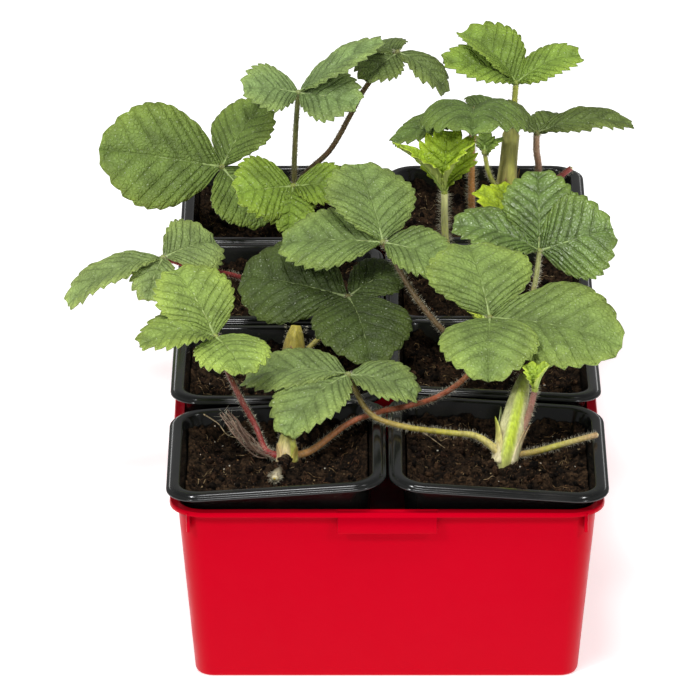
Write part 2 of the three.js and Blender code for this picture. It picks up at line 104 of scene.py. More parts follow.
# Soil, with its clods as (size, depth) from coarse to fine
SOIL_BELOW_RIM = 9
SOIL_TOP = POT_HEIGHT - SOIL_BELOW_RIM
SOIL_RELIEF = 0.5
SOIL_CELLS = 110
SOIL_CLODS = ((8, 3.6), (3.2, 2.4), (1.3, 1.1))
MOUND_HEIGHT = 1.6
MOUND_RADIUS = 16
BANK_HEIGHT = 4.5
BANK_START = 0.62
SOIL_TONES = ("#1E1510", "#281C14", "#15100C", "#3A2A1D", "#100C09")
SPECK_TONES = ("#6A4A32", "#8A6A48", "#A08A66", "#DDD6C4")
FIBRE_TONES = ("#8F7350", "#B39A72", "#6B4A34", "#5A3C2B", "#9A8058")
# Loose lumps as (number, smallest and largest radius, fineness, tones), fibres as (number, steps)
CRUMBS = ((360, 0.35, 0.9, 1, SOIL_TONES), (80, 0.9, 1.8, 2, SOIL_TONES), (70, 0.18, 0.45, 1, SPECK_TONES))
FIBRES = ((60, 0.8, 2.2), (90, 0.3, 0.7))
# Heaps of soil on a pot: place in plan, spread and height
HEAPS = {
    "front_left": [(-42, -149, 8, 3.5), (-78, -112, 12, 2.5), (-58, -132, 6, 1.5)],
    "front_right": [(59, -149, 7.5, 6), (72, -146, 6, 2.5), (40, -152, 8, 2), (82, -112, 10, 2.5)],
    "second_left": [(-72, -76, 14, 2.5), (-20, -72, 12, 2)],
    "second_right": [(72, -76, 14, 2.5)],
}
# Where clods of soil cover a stalk
COVERING_CLODS = {
    "front_left": [(-41.5, -142.5, 87), (-42.3, -145, 87), (-43, -147.5, 87), (-43.8, -150, 86.6),
                   (-44.5, -152.5, 86)],
}
# Bare roots that lie across a pot
STRAY_ROOTS = {
    "front_right": [(2, -123, 95.4), (9, -121, 93), (15, -122, 90), (20, -125, 87.5), (24, -129, 86)],
    "front_left": [(-76, -108, 92), (-70, -113, 90), (-66, -119, 87.5), (-60, -121, 86.5)],
}

# Crowns and stalks
ROOT_DEPTH = 12
CROWN_TOP = 0.35
# A crown's girth from its root up, as (share of its height, share of its radius)
CROWN_GIRTH = (
    (-1, 0.7), (0, 0.92), (0.1, 1), (0.25, 1), (0.45, 0.94), (0.65, 0.82), (0.85, 0.62), (1, CROWN_TOP),
)
RIDGES, CROWN_RIDGES = 0.05, 0.09
STALK_STEP = 2.0
HAIR_ROOT, HAIR_TIP = 0.055, 0.012
FRAY_PER_MM = 130
DEAD_STRANDS = 46
STRAND_SEED = 7
USUAL_STALK = {"radius": 1.4, "hair": 1.6, "hairs": 13}

# Leaf blades, with a blade's usual fold and droop
BLADE_THICKNESS = 0.45
USUAL_BEND = (0.16, 0.25)
BLADE_FOOT = 0.1
BLADE_WIDEST = 1.15
BLADE_FULLNESS = 0.65
TOOTH_REACH = 1.6
TOOTH_SHARE, YOUNG_TOOTH_SHARE = 0.09, 0.13
TOOTH_TIP = 0.62
TOOTH_STEPS = 8
HALF_STEPS = 10
PUCKER, YOUNG_PUCKER = 0.17, 0.28
VEIN_SWEEP = 2.6
VEIN_WANDER = 0.8
RIB_DIP, RIB_DIP_REACH = 0.6, 1.2
WAVE_HEIGHT = 1.8
RIPPLE_HEIGHT = 0.5
EDGE_DROP = 0.5
RIB_STEPS = 12
RIB_RADIUS, RIB_TAPER = 0.85, 0.65
KNOT_RADIUS = 1.5
USUAL_LEAF = {"young": False, "gloss": 0.3, "relief": 1, "toothed": 1, "wedge": 0, "opens": 0}

# Stalk colours from root to tip
RED_STALK = ("#8A2628", "#7A342C", "#6B4C38")
PINK_STALK = ("#7A2E2E", "#B04A48")
ORANGE_STALK = ("#BC9458", "#BC6A48", "#A85C40", "#93803F")
OLIVE_STALK = ("#C4B878", "#A8A13E", "#A08A48", "#7E7440")
GREEN_STALK = ("#7A7440", "#8A8F55")
BROWN_STALK = ("#5A4A30", "#6F5C3C")
TAN_STALK = ("#9A6E3E", "#BC8448", "#C4925A")
RUST_STALK = ("#7E5A48", "#8A6450", "#A8886A")
PALE_STALK = ("#A8B23C", "#C4C860")
FAN_STALK = ("#C9CE6A", "#D8DC7C", "#E4E6A0")
BUD_STALK = ("#B09478", "#8F5C54")
STUB_STALK = ("#8A6A42", "#A9A548", "#B0916A")
CUT_RED_STALK = ("#7A3A36", "#A3524C")
DEAD_STALK = ("#4A3428", "#A88C78")
BURIED_STALK = ("#1E1612", "#2A1F18", "#241B15", "#B5A98A")
YELLOW_STALK = ("#C9B860", "#A3A65A")


def crown_of(foot, tip, radius, sides, ridge, **own):
    """A crown that leans from its foot in plan to its tip, with a bright ridge down one side."""
    usual = {"top": CROWN_TOP, "high": ridge, "ridge_way": -90}
    return {"foot": foot, "tip": tip, "radius": radius, "sides": sides, "ridge": ridge, **usual, **own}


def bare_stalk(tones, path, **own):
    """A stalk that has lost its leaf: cut, frayed or dead."""
    return {"stalk": tones, "path": path, **USUAL_STALK, **own}


def leaf_of(tone, stalk, path, blades, **own):
    """A leaf whose stalk runs along a path to its joint. A blade is (length, heading in plan, rise,
    width, roll, arch, fold, droop) in millimetres and degrees: the arch is a share of the length, the
    fold the slope of the halves up from the midrib, and the droop that of their edges."""
    return {"tone": tone, "blades": blades, **bare_stalk(stalk, path), **USUAL_LEAF, **own}


CROWNS = {
    "front_left": crown_of((-41, -138.5), (-41, -135, 97), 4.4, "#CDB98C", "#B9BC55", ridge_way=-50),
    "front_right": crown_of((48, -140), (57, -122, 116), 5.3, "#C0BD8E", "#B4C63A", high="#8A9544"),
    "second_left": crown_of((-40, -49), (-38, -41, 104), 5.4, "#8E7F42", "#B5A94C"),
    "second_right": crown_of((46, -49), (45, -46, 99), 4.6, "#8C7A50", "#A9A35C"),
    "third_left": crown_of((-42, 47), (-43, 48, 94), 4.6, "#9A8A58", "#B9B873"),
    "third_right": crown_of((44, 48), (44, 50, 100), 5, "#8F8052", "#B3B56D"),
    "back_left": crown_of((-38, 138), (-39, 136, 96), 5, "#7F6B48", "#A9A963"),
    "back_right": crown_of((54, 140), (57, 139, 121), 4.6, "#BDB670", "#DEDE74", high="#A6A65A",
                           ridge_way=-65, top=0.8),
}

# Free scales of a crown: direction in plan, start, length, half breadth, flare, foot and tip colour
SCALES = {
    "front_right": [
        (198, 5, 14, 4.6, 3.4, "#CFC77E", "#A2AC34"), (220, 0.5, 9, 3.4, 1.2, "#D2C99E", "#B9AE6C"),
        (-12, 2, 17, 2.2, 2.2, "#CFC49A", "#9A6E4C"), (-38, 1, 15, 2.2, 1.4, "#D2C9A0", "#B09A6A"),
        (150, 6, 18, 3, 2.4, "#C3CBA2", "#A9B46A"), (20, 10, 18, 3, 2, "#B98A70", "#9A5A4A"),
    ],
    "front_left": [
        (-150, 1, 9, 3, 0.8, "#D2BC8A", "#B79A62"), (-40, 1, 8, 2.6, 1.2, "#BFB55A", "#A38A4A"),
        (-100, 0.5, 6, 2.6, 0.8, "#CDBE7E", "#B8A24E"),
    ],
}

LEAVES = {
    "front_left": {
        "rising": leaf_of("#819847", RED_STALK, [
            (-42, -138, 86), (-49, -136, 87), (-54, -126, 94), (-61, -121, 106), (-67, -114, 117),
            (-71, -108, 127),
        ], [
            (36, 126, 35, 34, -5, 0.08), (33, 201, 2, 26, -5, 0.16), (27, 298, -15, 32, 0, 0.1),
        ]),
        "reaching": leaf_of("#748A44", ORANGE_STALK, [
            (-41, -137, 86), (-33, -135, 86.5), (-15, -121, 94), (-3, -117.5, 97.2), (8, -114, 98.2),
            (22, -105, 99), (35, -98, 107), (43, -95, 130),
        ], [
            (40, 104, 29, 44, 0, 0.08), (42, 268, -15, 40, 0, 0.12), (57, 344, -6, 46, 25, 0.08),
        ], toothed=0.7),
    },
    "front_right": {
        "low": leaf_of("#73874A", OLIVE_STALK, [
            (47, -140, 87.5), (42.5, -138, 91.5), (36.5, -136, 94.5), (26, -134, 95), (5, -132, 97.4),
            (-7, -124, 99.5), (-16, -113, 112),
        ], [
            (46, 163, -10, 30, -10, 0.1), (41, 227, -21, 32, 0, 0.12), (30, 350, -14, 26, 10, 0.12),
        ]),
        "bud": leaf_of("#9DB83C", BUD_STALK, [
            (52, -136, 89), (58, -133, 101), (61, -132, 113.5),
        ], [
            (12, 20, 60, 8, 0, 0.1, 0.7), (11, 140, 62, 8, 0, 0.1, 0.7),
        ], radius=1.6, young=True),
    },
    "second_left": {
        "dark": leaf_of("#40501F", YELLOW_STALK, [
            (-39.5, -47, 85), (-34, -39, 91), (-22, -29, 100), (-16, -24, 110),
        ], [
            (50, 157, 2, 42, -38, 0.06), (46, 283, -17, 42, 0, 0.12), (28, 30, 15, 24, 15, 0.1),
        ], toothed=0.6),
    },
    "second_right": {
        "tall": leaf_of("#708646", BROWN_STALK, [
            (45.5, -48, 87.5), (36, -45, 95), (25, -43, 102), (14, -36, 113), (5, -26, 125), (-1, -19, 133),
        ], [
            (45, 167, -6, 34, -25, 0.06), (43, 107, 31, 38, 5, 0.06), (31, 344, -15, 28, 20, 0.1),
        ]),
        "side": leaf_of("#657E3B", GREEN_STALK, [
            (47, -47, 87.5), (57, -34, 99), (64, -14, 112), (66, -4, 123),
        ], [
            (39, 180, 18, 30, -15, 0.1), (38, 90, 42, 30, 0, 0.08), (33, 8, 15, 38, 50, 0.06),
        ], gloss=0.75, relief=2, toothed=0.8),
        "bud": leaf_of("#A3B83C", PALE_STALK, [
            (44, -46, 90), (42, -40, 96), (42, -36, 100),
        ], [
            (11, 180, 53, 7, 0, 0.1), (11, 99, 51, 7, 0, 0.1),
        ], young=True),
    },
    "third_left": {
        "outer": leaf_of("#7C9051", PINK_STALK, [
            (-43, 46, 84.5), (-54, 43, 88), (-65, 38, 94), (-80, 30, 101), (-91, 23, 107), (-96, 20, 110),
        ], [
            (46, 196, -22, 22, -5, 0.14), (29, 38, 0, 28, 30, 0.12), (24, 253, -26, 18, 0, 0.1),
        ]),
        "inner": leaf_of("#6F882D", GREEN_STALK, [
            (-42, 48, 86), (-43, 54, 100), (-40, 62, 116), (-40, 66, 125),
        ], [
            (26, 200, 0, 32, -35, 0.06), (24, 350, 0, 26, 20, 0.1), (24, 264, -32, 20, 0, 0.1),
        ], young=True),
    },
    "third_right": {
        "fan": leaf_of("#93AF2C", FAN_STALK, [
            (43, 48, 84.5), (32, 48, 90), (27, 48, 104), (26, 48, 119), (26, 48, 129),
        ], [
            (32, 196, 49, 16, 0, 0.08, 0.8), (27, 79, 74, 24, 0, 0.08, 0.25), (27, 0, 64, 18, 0, 0.08, 0.8),
        ], radius=1.9, hair=2.6, hairs=24, young=True, wedge=0.5, toothed=1.5, opens=0.85),
        "high": leaf_of("#5C7234", TAN_STALK, [
            (43, 50, 88), (39, 57, 105), (38, 66, 128), (38.5, 73, 148), (39, 76, 157),
        ], [
            (34, 268, 4, 45, 0, 0.12, 0.8, 1.5), (39, 199, -16, 20, 0, 0.05), (27, 55, -13, 24, 0, 0.1),
        ], radius=1.8, hair=2.2, hairs=22, opens=0.5),
        "bright": leaf_of("#94AA24", PALE_STALK, [
            (45, 46, 88), (50, 38, 98), (57, 28, 109), (59, 26, 117),
        ], [
            (28, 152, 40, 18, 0, 0.1), (27, 119, 41, 16, 0, 0.1),
        ], young=True),
    },
    "back_left": {
        "top": leaf_of("#778E53", GREEN_STALK, [
            (-39, 136, 88), (-40, 128, 106), (-39, 121, 134), (-38, 118, 149),
        ], [
            (25, 194, 11, 28, -25, 0.06), (44, 12, 30, 24, 0, 0.04), (29, 336, -2, 28, 25, 0.06),
        ]),
        "arched": leaf_of("#63753C", BROWN_STALK, [
            (-38, 137, 88), (-37, 135, 101), (-24, 133, 116), (-15, 132, 133), (-9, 132, 145),
            (-2, 133, 154), (6, 134, 162),
        ], [
            (20, 220, -24, 26, 0, 0.06), (28, 332, -33, 18, 0, 0.16), (22, 126, -10, 24, 0, 0.1),
        ]),
        "broad": leaf_of("#687E37", PINK_STALK, [
            (-40, 136, 85), (-51, 131, 88), (-64, 120, 103), (-72, 112, 116),
        ], [
            (56, 188, 12, 48, -55, 0.03), (36, 42, 45, 34, 0, 0.06), (33, 318, -39, 36, 10, 0.06),
        ], toothed=0.55),
    },
    "back_right": {
        "crest": leaf_of("#7A953A", PALE_STALK, [
            (56, 140, 108), (58, 139, 125), (58.5, 138, 139), (59, 138, 146),
        ], [
            (36, 194, 21, 26, -15, 0.12), (34, 145, 32, 32, 0, 0.1, 0.5), (31, 8, 23, 22, 15, 0.12),
        ], radius=1.6),
        "outer": leaf_of("#5C6D33", RUST_STALK, [
            (55, 140, 88), (63, 138, 95), (69, 130, 107), (68, 124, 120), (68, 122, 128),
        ], [
            (22, 173, 30, 22, -5, 0.12), (20, 53, 7, 18, 0, 0.12), (43, 5, 4, 22, 5, 0.12),
        ], radius=1.8),
        "small": leaf_of("#75903A", PALE_STALK, [
            (54, 139, 90), (47, 130, 106), (45, 127, 117),
        ], [
            (10, 0, 43, 8, 0, 0.1), (9, 85, 70, 8, 0, 0.1),
        ], radius=1.2, young=True),
    },
}

BARE_STALKS = {
    "front_left": [
        bare_stalk(BURIED_STALK, [
            (-41, -139, 87), (-43, -147, 86.8), (-46, -159, 85.6),
        ], cut=True, frayed=True, radius=2),
        bare_stalk(DEAD_STALK, [
            (-42, -138, 86.5), (-52, -136, 87), (-61, -133, 95), (-68, -128, 102),
        ], dead=True, radius=1.5),
    ],
    "front_right": [
        bare_stalk(STUB_STALK, [
            (51, -139, 87), (60, -137, 87.5), (73, -133, 89.5), (87, -128, 91.5),
        ], cut=True),
    ],
    "back_right": [
        bare_stalk(CUT_RED_STALK, [
            (55, 140, 88), (66, 138, 95), (76, 136, 100), (84, 136, 106),
        ], cut=True),
    ],
}


def linear(hex_colour):
    """An sRGB hex colour as linear red, green, blue and alpha."""
    channels = [int(hex_colour[i:i + 2], 16) / 255 for i in (1, 3, 5)]
    return (*[c / 12.92 if c <= 0.04045 else ((c + 0.055) / 1.055) ** 2.4 for c in channels], 1)


def mixed(first, second, share):
    """A colour part of the way between two linear colours."""
    return tuple(a + (b - a) * share for a, b in zip(first, second))


# Materials

def add(tree, kind, inputs=None, **settings):
    """Adds a node with its settings; an input is a value, a hex colour or another node's output."""
    node = tree.nodes.new(kind)
    for name, value in settings.items():
        setattr(node, name, value)
    for name, value in (inputs or {}).items():
        if isinstance(value, bpy.types.NodeSocket):
            tree.links.new(value, node.inputs[name])
        else:
            node.inputs[name].default_value = linear(value) if isinstance(value, str) else value
    return node


def start_material(name):
    """An empty material with its node tree, and a point's place on the piece."""
    material = bpy.data.materials.new(name)
    material.use_nodes = True
    tree = material.node_tree
    tree.nodes.clear()
    return material, tree, add(tree, "ShaderNodeTexCoord").outputs["Object"]


def finish_material(material, looks):
    """Gives a material its shader with these looks."""
    shader = add(material.node_tree, "ShaderNodeBsdfPrincipled", looks)
    add(material.node_tree, "ShaderNodeOutputMaterial", {"Surface": shader.outputs["BSDF"]})
    return material


def clouds(tree, place, size_mm, detail, roughness=0.5):
    """Noise whose pattern has this size."""
    inputs = {"Vector": place, "Scale": 1000 / size_mm, "Detail": detail, "Roughness": roughness}
    return add(tree, "ShaderNodeTexNoise", inputs).outputs["Fac"]


def range_of(tree, value, low, high, to_low, to_high):
    """A value's smooth range turned to another range."""
    return add(tree, "ShaderNodeMapRange", {
        "Value": value, "From Min": low, "From Max": high, "To Min": to_low, "To Max": to_high,
    }, interpolation_type="SMOOTHSTEP").outputs["Result"]


def blended(tree, share, first, second):
    """Two colours mixed by a share."""
    return add(tree, "ShaderNodeMix", {0: share, 6: first, 7: second}, data_type="RGBA").outputs[2]


def worked(tree, operation, *values):
    """One sum on values."""
    return add(tree, "ShaderNodeMath", dict(enumerate(values)), operation=operation).outputs["Value"]


def scaled(tree, tone, share):
    """A colour made darker or brighter."""
    return add(tree, "ShaderNodeVectorMath", {0: tone, "Scale": share}, operation="SCALE").outputs["Vector"]


def bumped(tree, height, strength, depth_mm):
    """A surface's direction where a height makes it uneven."""
    inputs = {"Height": height, "Strength": strength, "Distance": depth_mm * MM}
    return add(tree, "ShaderNodeBump", inputs).outputs["Normal"]


def own_tone(tree):
    """The tone that each point of a piece carries."""
    return add(tree, "ShaderNodeAttribute", attribute_name="tone")


def vein_distances(tree):
    """How far a point of a leaflet lies from the nearest side vein and from the midrib."""
    vein_map = add(tree, "ShaderNodeUVMap", uv_map="UVMap").outputs["UV"]
    across = add(tree, "ShaderNodeSeparateXYZ", {"Vector": vein_map}).outputs
    return worked(tree, "PINGPONG", across["X"], 0.5), worked(tree, "ABSOLUTE", across["Y"])


def red_polystyrene():
    """Thermoformed polystyrene sheet: an even saturated red with a soft broken gloss, with painted
    shade that deepens the red under the flange."""
    material, tree, place = start_material("red thermoformed polystyrene")
    colour = blended(tree, clouds(tree, place, 60, 2), "#B20018", "#B8001C")
    # Painted shade: the red turns deeper in a band under the flange and stops just below the flange's foot
    height = add(tree, "ShaderNodeSeparateXYZ", {"Vector": place}).outputs["Z"]
    flange_foot = TRAY_HEIGHT - FLANGE_THICKNESS
    under = range_of(tree, height, (flange_foot - FLANGE_SHADE) * MM, (flange_foot - 0.8) * MM, 0, 0.55)
    below = range_of(tree, height, (flange_foot - 0.6) * MM, flange_foot * MM, 1, 0)
    return finish_material(material, {
        "Base Color": blended(tree, worked(tree, "MULTIPLY", under, below), colour, "#7A0010"),
        "Roughness": range_of(tree, clouds(tree, place, 9, 3), 0.3, 0.7, 0.28, 0.38),
        "Specular IOR Level": 0.12,
        "Specular Tint": "#FF2828",
        "Normal": bumped(tree, clouds(tree, place, 1.2, 2), 0.12, 0.1),
    })


def black_polypropylene():
    """Thin moulded polypropylene: near black, crisp gloss on its rolled edges, specks of soil."""
    material, tree, place = start_material("black moulded polypropylene")
    patch = clouds(tree, place, 14, 2)
    film = range_of(tree, patch, 0.5, 0.75, 0, 0.25)
    speck = range_of(tree, clouds(tree, place, 1, 3, 0.7), 0.68, 0.76, 0, 0.6)
    colour = blended(tree, film, "#101110", "#2E2926")
    return finish_material(material, {
        "Base Color": blended(tree, speck, colour, "#7A6A58"),
        "Roughness": range_of(tree, patch, 0.3, 0.7, 0.14, 0.22),
        "Specular IOR Level": 0.4,
        "Normal": bumped(tree, patch, 0.15, 0.3),
    })


def potting_soil():
    """Peat and bark soil: near-black crumbs, matte, with lighter fibre; each bit has its own tone."""
    material, tree, place = start_material("peat potting soil")
    crumbs = clouds(tree, place, 1.7, 5, 0.75)
    # Painted shade: the crumb pattern that raises the bumps also darkens the tone in its hollows
    colour = scaled(tree, own_tone(tree).outputs["Color"], range_of(tree, crumbs, 0.36, 0.66, 0.1, 1.6))
    bark = range_of(tree, clouds(tree, place, 0.8, 2), 0.64, 0.72, 0, 0.65)
    return finish_material(material, {
        "Base Color": blended(tree, bark, colour, "#6E5138"),
        "Roughness": 0.95,
        "Specular IOR Level": 0.08,
        "Normal": bumped(tree, crumbs, 1, 1.2),
    })


def living_stalk():
    """Leaf stalk and crown skin: each in its own tone, streaked along, a little waxy."""
    material, tree, place = start_material("strawberry stalk skin")
    upright = add(tree, "ShaderNodeMapping", {"Vector": place, "Scale": (1, 1, 0.14)}).outputs["Vector"]
    streaks = clouds(tree, upright, 1.1, 2)
    colour = scaled(tree, own_tone(tree).outputs["Color"], range_of(tree, streaks, 0.3, 0.7, 0.8, 1.2))
    blush = range_of(tree, clouds(tree, place, 7, 1), 0.55, 0.8, 0, 0.25)
    return finish_material(material, {
        "Base Color": blended(tree, blush, colour, "#7A4632"),
        "Roughness": 0.45,
        "Specular IOR Level": 0.3,
        "Subsurface Weight": 0.12,
        "Subsurface Radius": (1.2 * MM, 1.4 * MM, 0.5 * MM),
        "Normal": bumped(tree, streaks, 0.5, 0.25),
    })


def plant_hair():
    """Fine spreading hair on stalks and leaf knots: silvery white, matte."""
    material, tree, place = start_material("silvery plant hair")
    return finish_material(material, {
        "Base Color": blended(tree, clouds(tree, place, 6, 1), "#B9B294", "#E9E4CE"),
        "Roughness": 0.6,
        "Specular IOR Level": 0.2,
    })


def leaf_upper():
    """Upper side of a strawberry leaflet: quilted between sunken veins, satin, with painted shade
    in its vein grooves and painted glints on its hairs.
    The tone's alpha is the leaf's share of gloss."""
    material, tree, place = start_material("strawberry leaf, upper side")
    own = own_tone(tree).outputs
    to_vein, to_rib = vein_distances(tree)
    groove, rib = range_of(tree, to_vein, 0, 0.13, 1, 0), range_of(tree, to_rib, 0, 0.05, 1, 0)
    lines = worked(tree, "MAXIMUM", groove, rib)
    fade = range_of(tree, clouds(tree, place, 7, 1), 0.35, 0.65, 0.04, 0.2)
    net = add(tree, "ShaderNodeTexVoronoi", {"Vector": place, "Scale": 1000 / 1.9},
              feature="DISTANCE_TO_EDGE").outputs["Distance"]
    cushions = range_of(tree, net, 0, 0.3, 0, 1)

    # Leaf tone in patches, darkened by painted shade in the vein grooves and between the small cushions,
    # with pale threads
    patches = range_of(tree, clouds(tree, place, 9, 4, 0.6), 0.3, 0.7, 0.76, 1.32)
    groove_shade = scaled(tree, own["Color"], 0.42)
    colour = blended(tree, worked(tree, "MULTIPLY", lines, fade), scaled(tree, own["Color"], patches), groove_shade)
    thread, rib_thread = range_of(tree, to_vein, 0, 0.02, 0.06, 0), range_of(tree, to_rib, 0, 0.015, 0.25, 0)
    colour = blended(tree, worked(tree, "MAXIMUM", thread, rib_thread), colour, "#9DB06A")
    colour = blended(tree, range_of(tree, cushions, 0, 1, 0.2, 0), colour, groove_shade)

    # Short silvery hairs: pale specks of their own colour, brightened further as painted glints
    hair_glint = range_of(tree, clouds(tree, place, 0.75, 2), 0.65, 0.75, 0, 0.48)
    return finish_material(material, {
        "Base Color": blended(tree, hair_glint, colour, "#D5DDC4"),
        "Roughness": range_of(tree, own["Alpha"], 0, 1, 0.62, 0.3),
        "Specular IOR Level": range_of(tree, own["Alpha"], 0, 1, 0.2, 0.75),
        "Normal": bumped(tree, worked(tree, "MULTIPLY_ADD", lines, -1.2, cushions), 0.85, 0.36),
    })


def leaf_under():
    """Underside of a leaflet: paler, greyer and matte, with the veins standing out."""
    material, tree, place = start_material("strawberry leaf, underside")
    vein = range_of(tree, vein_distances(tree)[0], 0, 0.12, 1, 0)
    pale = blended(tree, 0.1, own_tone(tree).outputs["Color"], "#A3B283")
    spread = range_of(tree, clouds(tree, place, 2.5, 3), 0.3, 0.7, 0, 0.15)
    colour = blended(tree, spread, pale, "#C2CBA4")
    return finish_material(material, {
        "Base Color": blended(tree, range_of(tree, vein, 0, 1, 0, 0.4), colour, "#CBD68C"),
        "Roughness": 0.75,
        "Specular IOR Level": 0.15,
        "Normal": bumped(tree, vein, 0.6, 0.3),
    })


TRAY_RED = red_polystyrene()
POT_BLACK = black_polypropylene()
SOIL = potting_soil()
STALK = living_stalk()
HAIR = plant_hair()
LEAF_TOP = leaf_upper()
LEAF_UNDER = leaf_under()


# Shapes

def new_shape():
    """An empty mesh that keeps each point's place in its ring, its tone and its map."""
    bm = bmesh.new()
    bm.verts.layers.int.new("place")
    bm.verts.layers.float_color.new("tone")
    bm.loops.layers.uv.new("UVMap")
    return bm


def verts_in(geometry):
    """The points among some geometry."""
    return [item for item in geometry if isinstance(item, bmesh.types.BMVert)]


def edges_between(geometry, verts):
    """The edges among some geometry that join two of these points."""
    return [item for item in geometry if isinstance(item, bmesh.types.BMEdge)
            and item.verts[0] in verts and item.verts[1] in verts]


def faces_of(verts):
    """The faces that meet in these points."""
    return list({face for vert in verts for face in vert.link_faces})


def paint(bm, verts, tone, material=0):
    """Gives points one tone, and their faces a material."""
    layer = bm.verts.layers.float_color["tone"]
    for vert in verts:
        vert[layer] = tone
        for face in vert.link_faces:
            face.material_index = material


def level(degrees):
    """A level direction."""
    angle = math.radians(degrees)
    return Vector((math.cos(angle), math.sin(angle), 0))


def within(share):
    """A share kept between 0 and 1."""
    return min(1, max(0, share))


def mesh_of(name, bm):
    """The mesh of a finished shape."""
    mesh = bpy.data.meshes.new(name)
    bm.to_mesh(mesh)
    bm.free()
    return mesh


def add_object(name, data):
    """Puts a mesh, a lamp or a camera in the scene."""
    made = bpy.data.objects.new(name, data)
    bpy.context.scene.collection.objects.link(made)
    return made


def add_piece(name, bm, node, slot, *materials, crisp=None):
    """Finishes a shape as the piece that stands for a CAD node. Its edges stay crisp where faces
    meet at more than the given angle."""
    bmesh.ops.scale(bm, vec=(MM, MM, MM), verts=bm.verts)
    mesh = mesh_of(name, bm)
    mesh.attributes.remove(mesh.attributes["place"])
    mesh.polygons.foreach_set("use_smooth", [True] * len(mesh.polygons))
    if crisp:
        mesh.set_sharp_from_angle(angle=math.radians(crisp))
    for material in materials:
        mesh.materials.append(material)
    piece = add_object(name, mesh)
    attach(piece, "root")
    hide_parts(node)


def loft(bm, rings, tones, cap_start=True, cap_end=True):
    """Draws a circle of edges from ring to ring, one after another."""
    place = bm.verts.layers.int["place"]
    layer = bm.verts.layers.float_color["tone"]
    ring_verts = bmesh.ops.create_circle(bm, cap_ends=cap_start, segments=len(rings[0]), radius=1)["verts"]
    for index, vert in enumerate(ring_verts):
        vert[place] = index
        vert[layer] = tones[0]
        vert.co = rings[0][index]
    made = list(ring_verts)
    edges = list({e for v in ring_verts for e in v.link_edges})
    for ring, tone in zip(rings[1:], tones[1:]):
        grown = bmesh.ops.extrude_edge_only(bm, edges=edges)["geom"]
        fresh = set(verts_in(grown))
        edges = edges_between(grown, fresh)
        for vert in fresh:
            vert.co = ring[vert[place]]
            vert[layer] = tone
        made.extend(fresh)
    if cap_end:
        bmesh.ops.edgeloop_fill(bm, edges=edges)
    return made


def smooth_path(points, step):
    """Points about a step apart on a smooth curve through these."""
    known = [Vector(p) for p in points]
    known = [2 * known[0] - known[1], *known, 2 * known[-1] - known[-2]]
    path = []
    for span in zip(known, known[1:], known[2:], known[3:]):
        knots = [0]
        for start, end in zip(span, span[1:]):
            knots.append(knots[-1] + max((end - start).length, 0.01) ** 0.5)
        count = max(2, round((span[2] - span[1]).length / step))
        for i in range(count):
            t = knots[1] + (knots[2] - knots[1]) * i / count
            steps = span
            for first, reach in ((0, 1), (0, 2), (1, 1)):
                steps = [a.lerp(b, (t - knots[k]) / (knots[k + reach] - knots[k]))
                         for k, (a, b) in enumerate(zip(steps, steps[1:]), first)]
            path.append(steps[0])
    path.append(known[-2])
    return path


def ring_frames(path):
    """A sideways and an upward direction at each point of a path, turned as little as possible."""
    side = None
    frames = []
    for index, point in enumerate(path):
        ahead = (path[min(index + 1, len(path) - 1)] - path[max(index - 1, 0)]).normalized()
        if side is None:
            side = ahead.orthogonal().normalized()
        side = (side - ahead * side.dot(ahead)).normalized()
        frames.append((ahead, side, ahead.cross(side)))
    return frames


def add_tube(bm, path, radii, tones, sides=8, ridges=0.0):
    """A stalk along a path, with ridges that run along it."""
    rings = []
    for point, (_, side, up), radius in zip(path, ring_frames(path), radii):
        ring = []
        for j in range(sides):
            angle = 2 * math.pi * j / sides
            reach = radius * (1 + ridges * (2 * abs(math.cos(2.5 * angle)) - 1))
            ring.append(point + reach * (math.cos(angle) * side + math.sin(angle) * up))
        rings.append(ring)
    return loft(bm, rings, tones)


def add_hairs(bm, path, radii, per_mm, reach, rng, lean=(-0.25, 0.7), material=1):
    """Fine tapering hairs that spread from a stalk and lean a little along it."""
    fuzz = new_shape()
    hair_tone = linear("#E8E6D8")
    frames = ring_frames(path)
    for index in range(len(path) - 1):
        span = path[index + 1] - path[index]
        wanted = per_mm * span.length
        count = int(wanted) + (rng.random() < wanted % 1)
        for _ in range(count):
            share = rng.random()
            ahead, side, up = frames[index]
            angle = rng.uniform(0, 2 * math.pi)
            out = math.cos(angle) * side + math.sin(angle) * up
            way = (out + ahead * rng.uniform(*lean)).normalized()
            length = reach * rng.uniform(0.5, 1.25)
            root = path[index] + span * share + out * radii[index] * 0.85
            turn = way.to_track_quat("Z", "Y").to_matrix().to_4x4()
            middle = Matrix.Translation(root + way * length / 2)
            hair = bmesh.ops.create_cone(fuzz, segments=3, radius1=HAIR_ROOT, radius2=HAIR_TIP,
                                         depth=length, cap_ends=True, matrix=middle @ turn)
            paint(fuzz, hair["verts"], hair_tone, material)
    joined(bm, fuzz)


def joined(bm, other):
    """Adds another shape to this one."""
    mesh = mesh_of("part", other)
    bm.from_mesh(mesh)
    bpy.data.meshes.remove(mesh)


def rounded_ring(half_x, half_y, corner, z, stops=()):
    """Points of a rounded rectangle, anticlockwise; stops are further points along its two ends."""
    ring = []
    for quarter, (sign_x, sign_y) in enumerate(((1, 1), (-1, 1), (-1, -1), (1, -1))):
        for step in range(CORNER_STEPS + 1):
            angle = (quarter + step / CORNER_STEPS) * math.pi / 2
            ring.append(Vector((sign_x * (half_x - corner) + corner * math.cos(angle),
                                sign_y * (half_y - corner) + corner * math.sin(angle), z)))
        if quarter in (0, 2):
            ring.extend(Vector((sign_x * x, sign_y * half_y, z)) for x in stops)
    return ring


# Tray

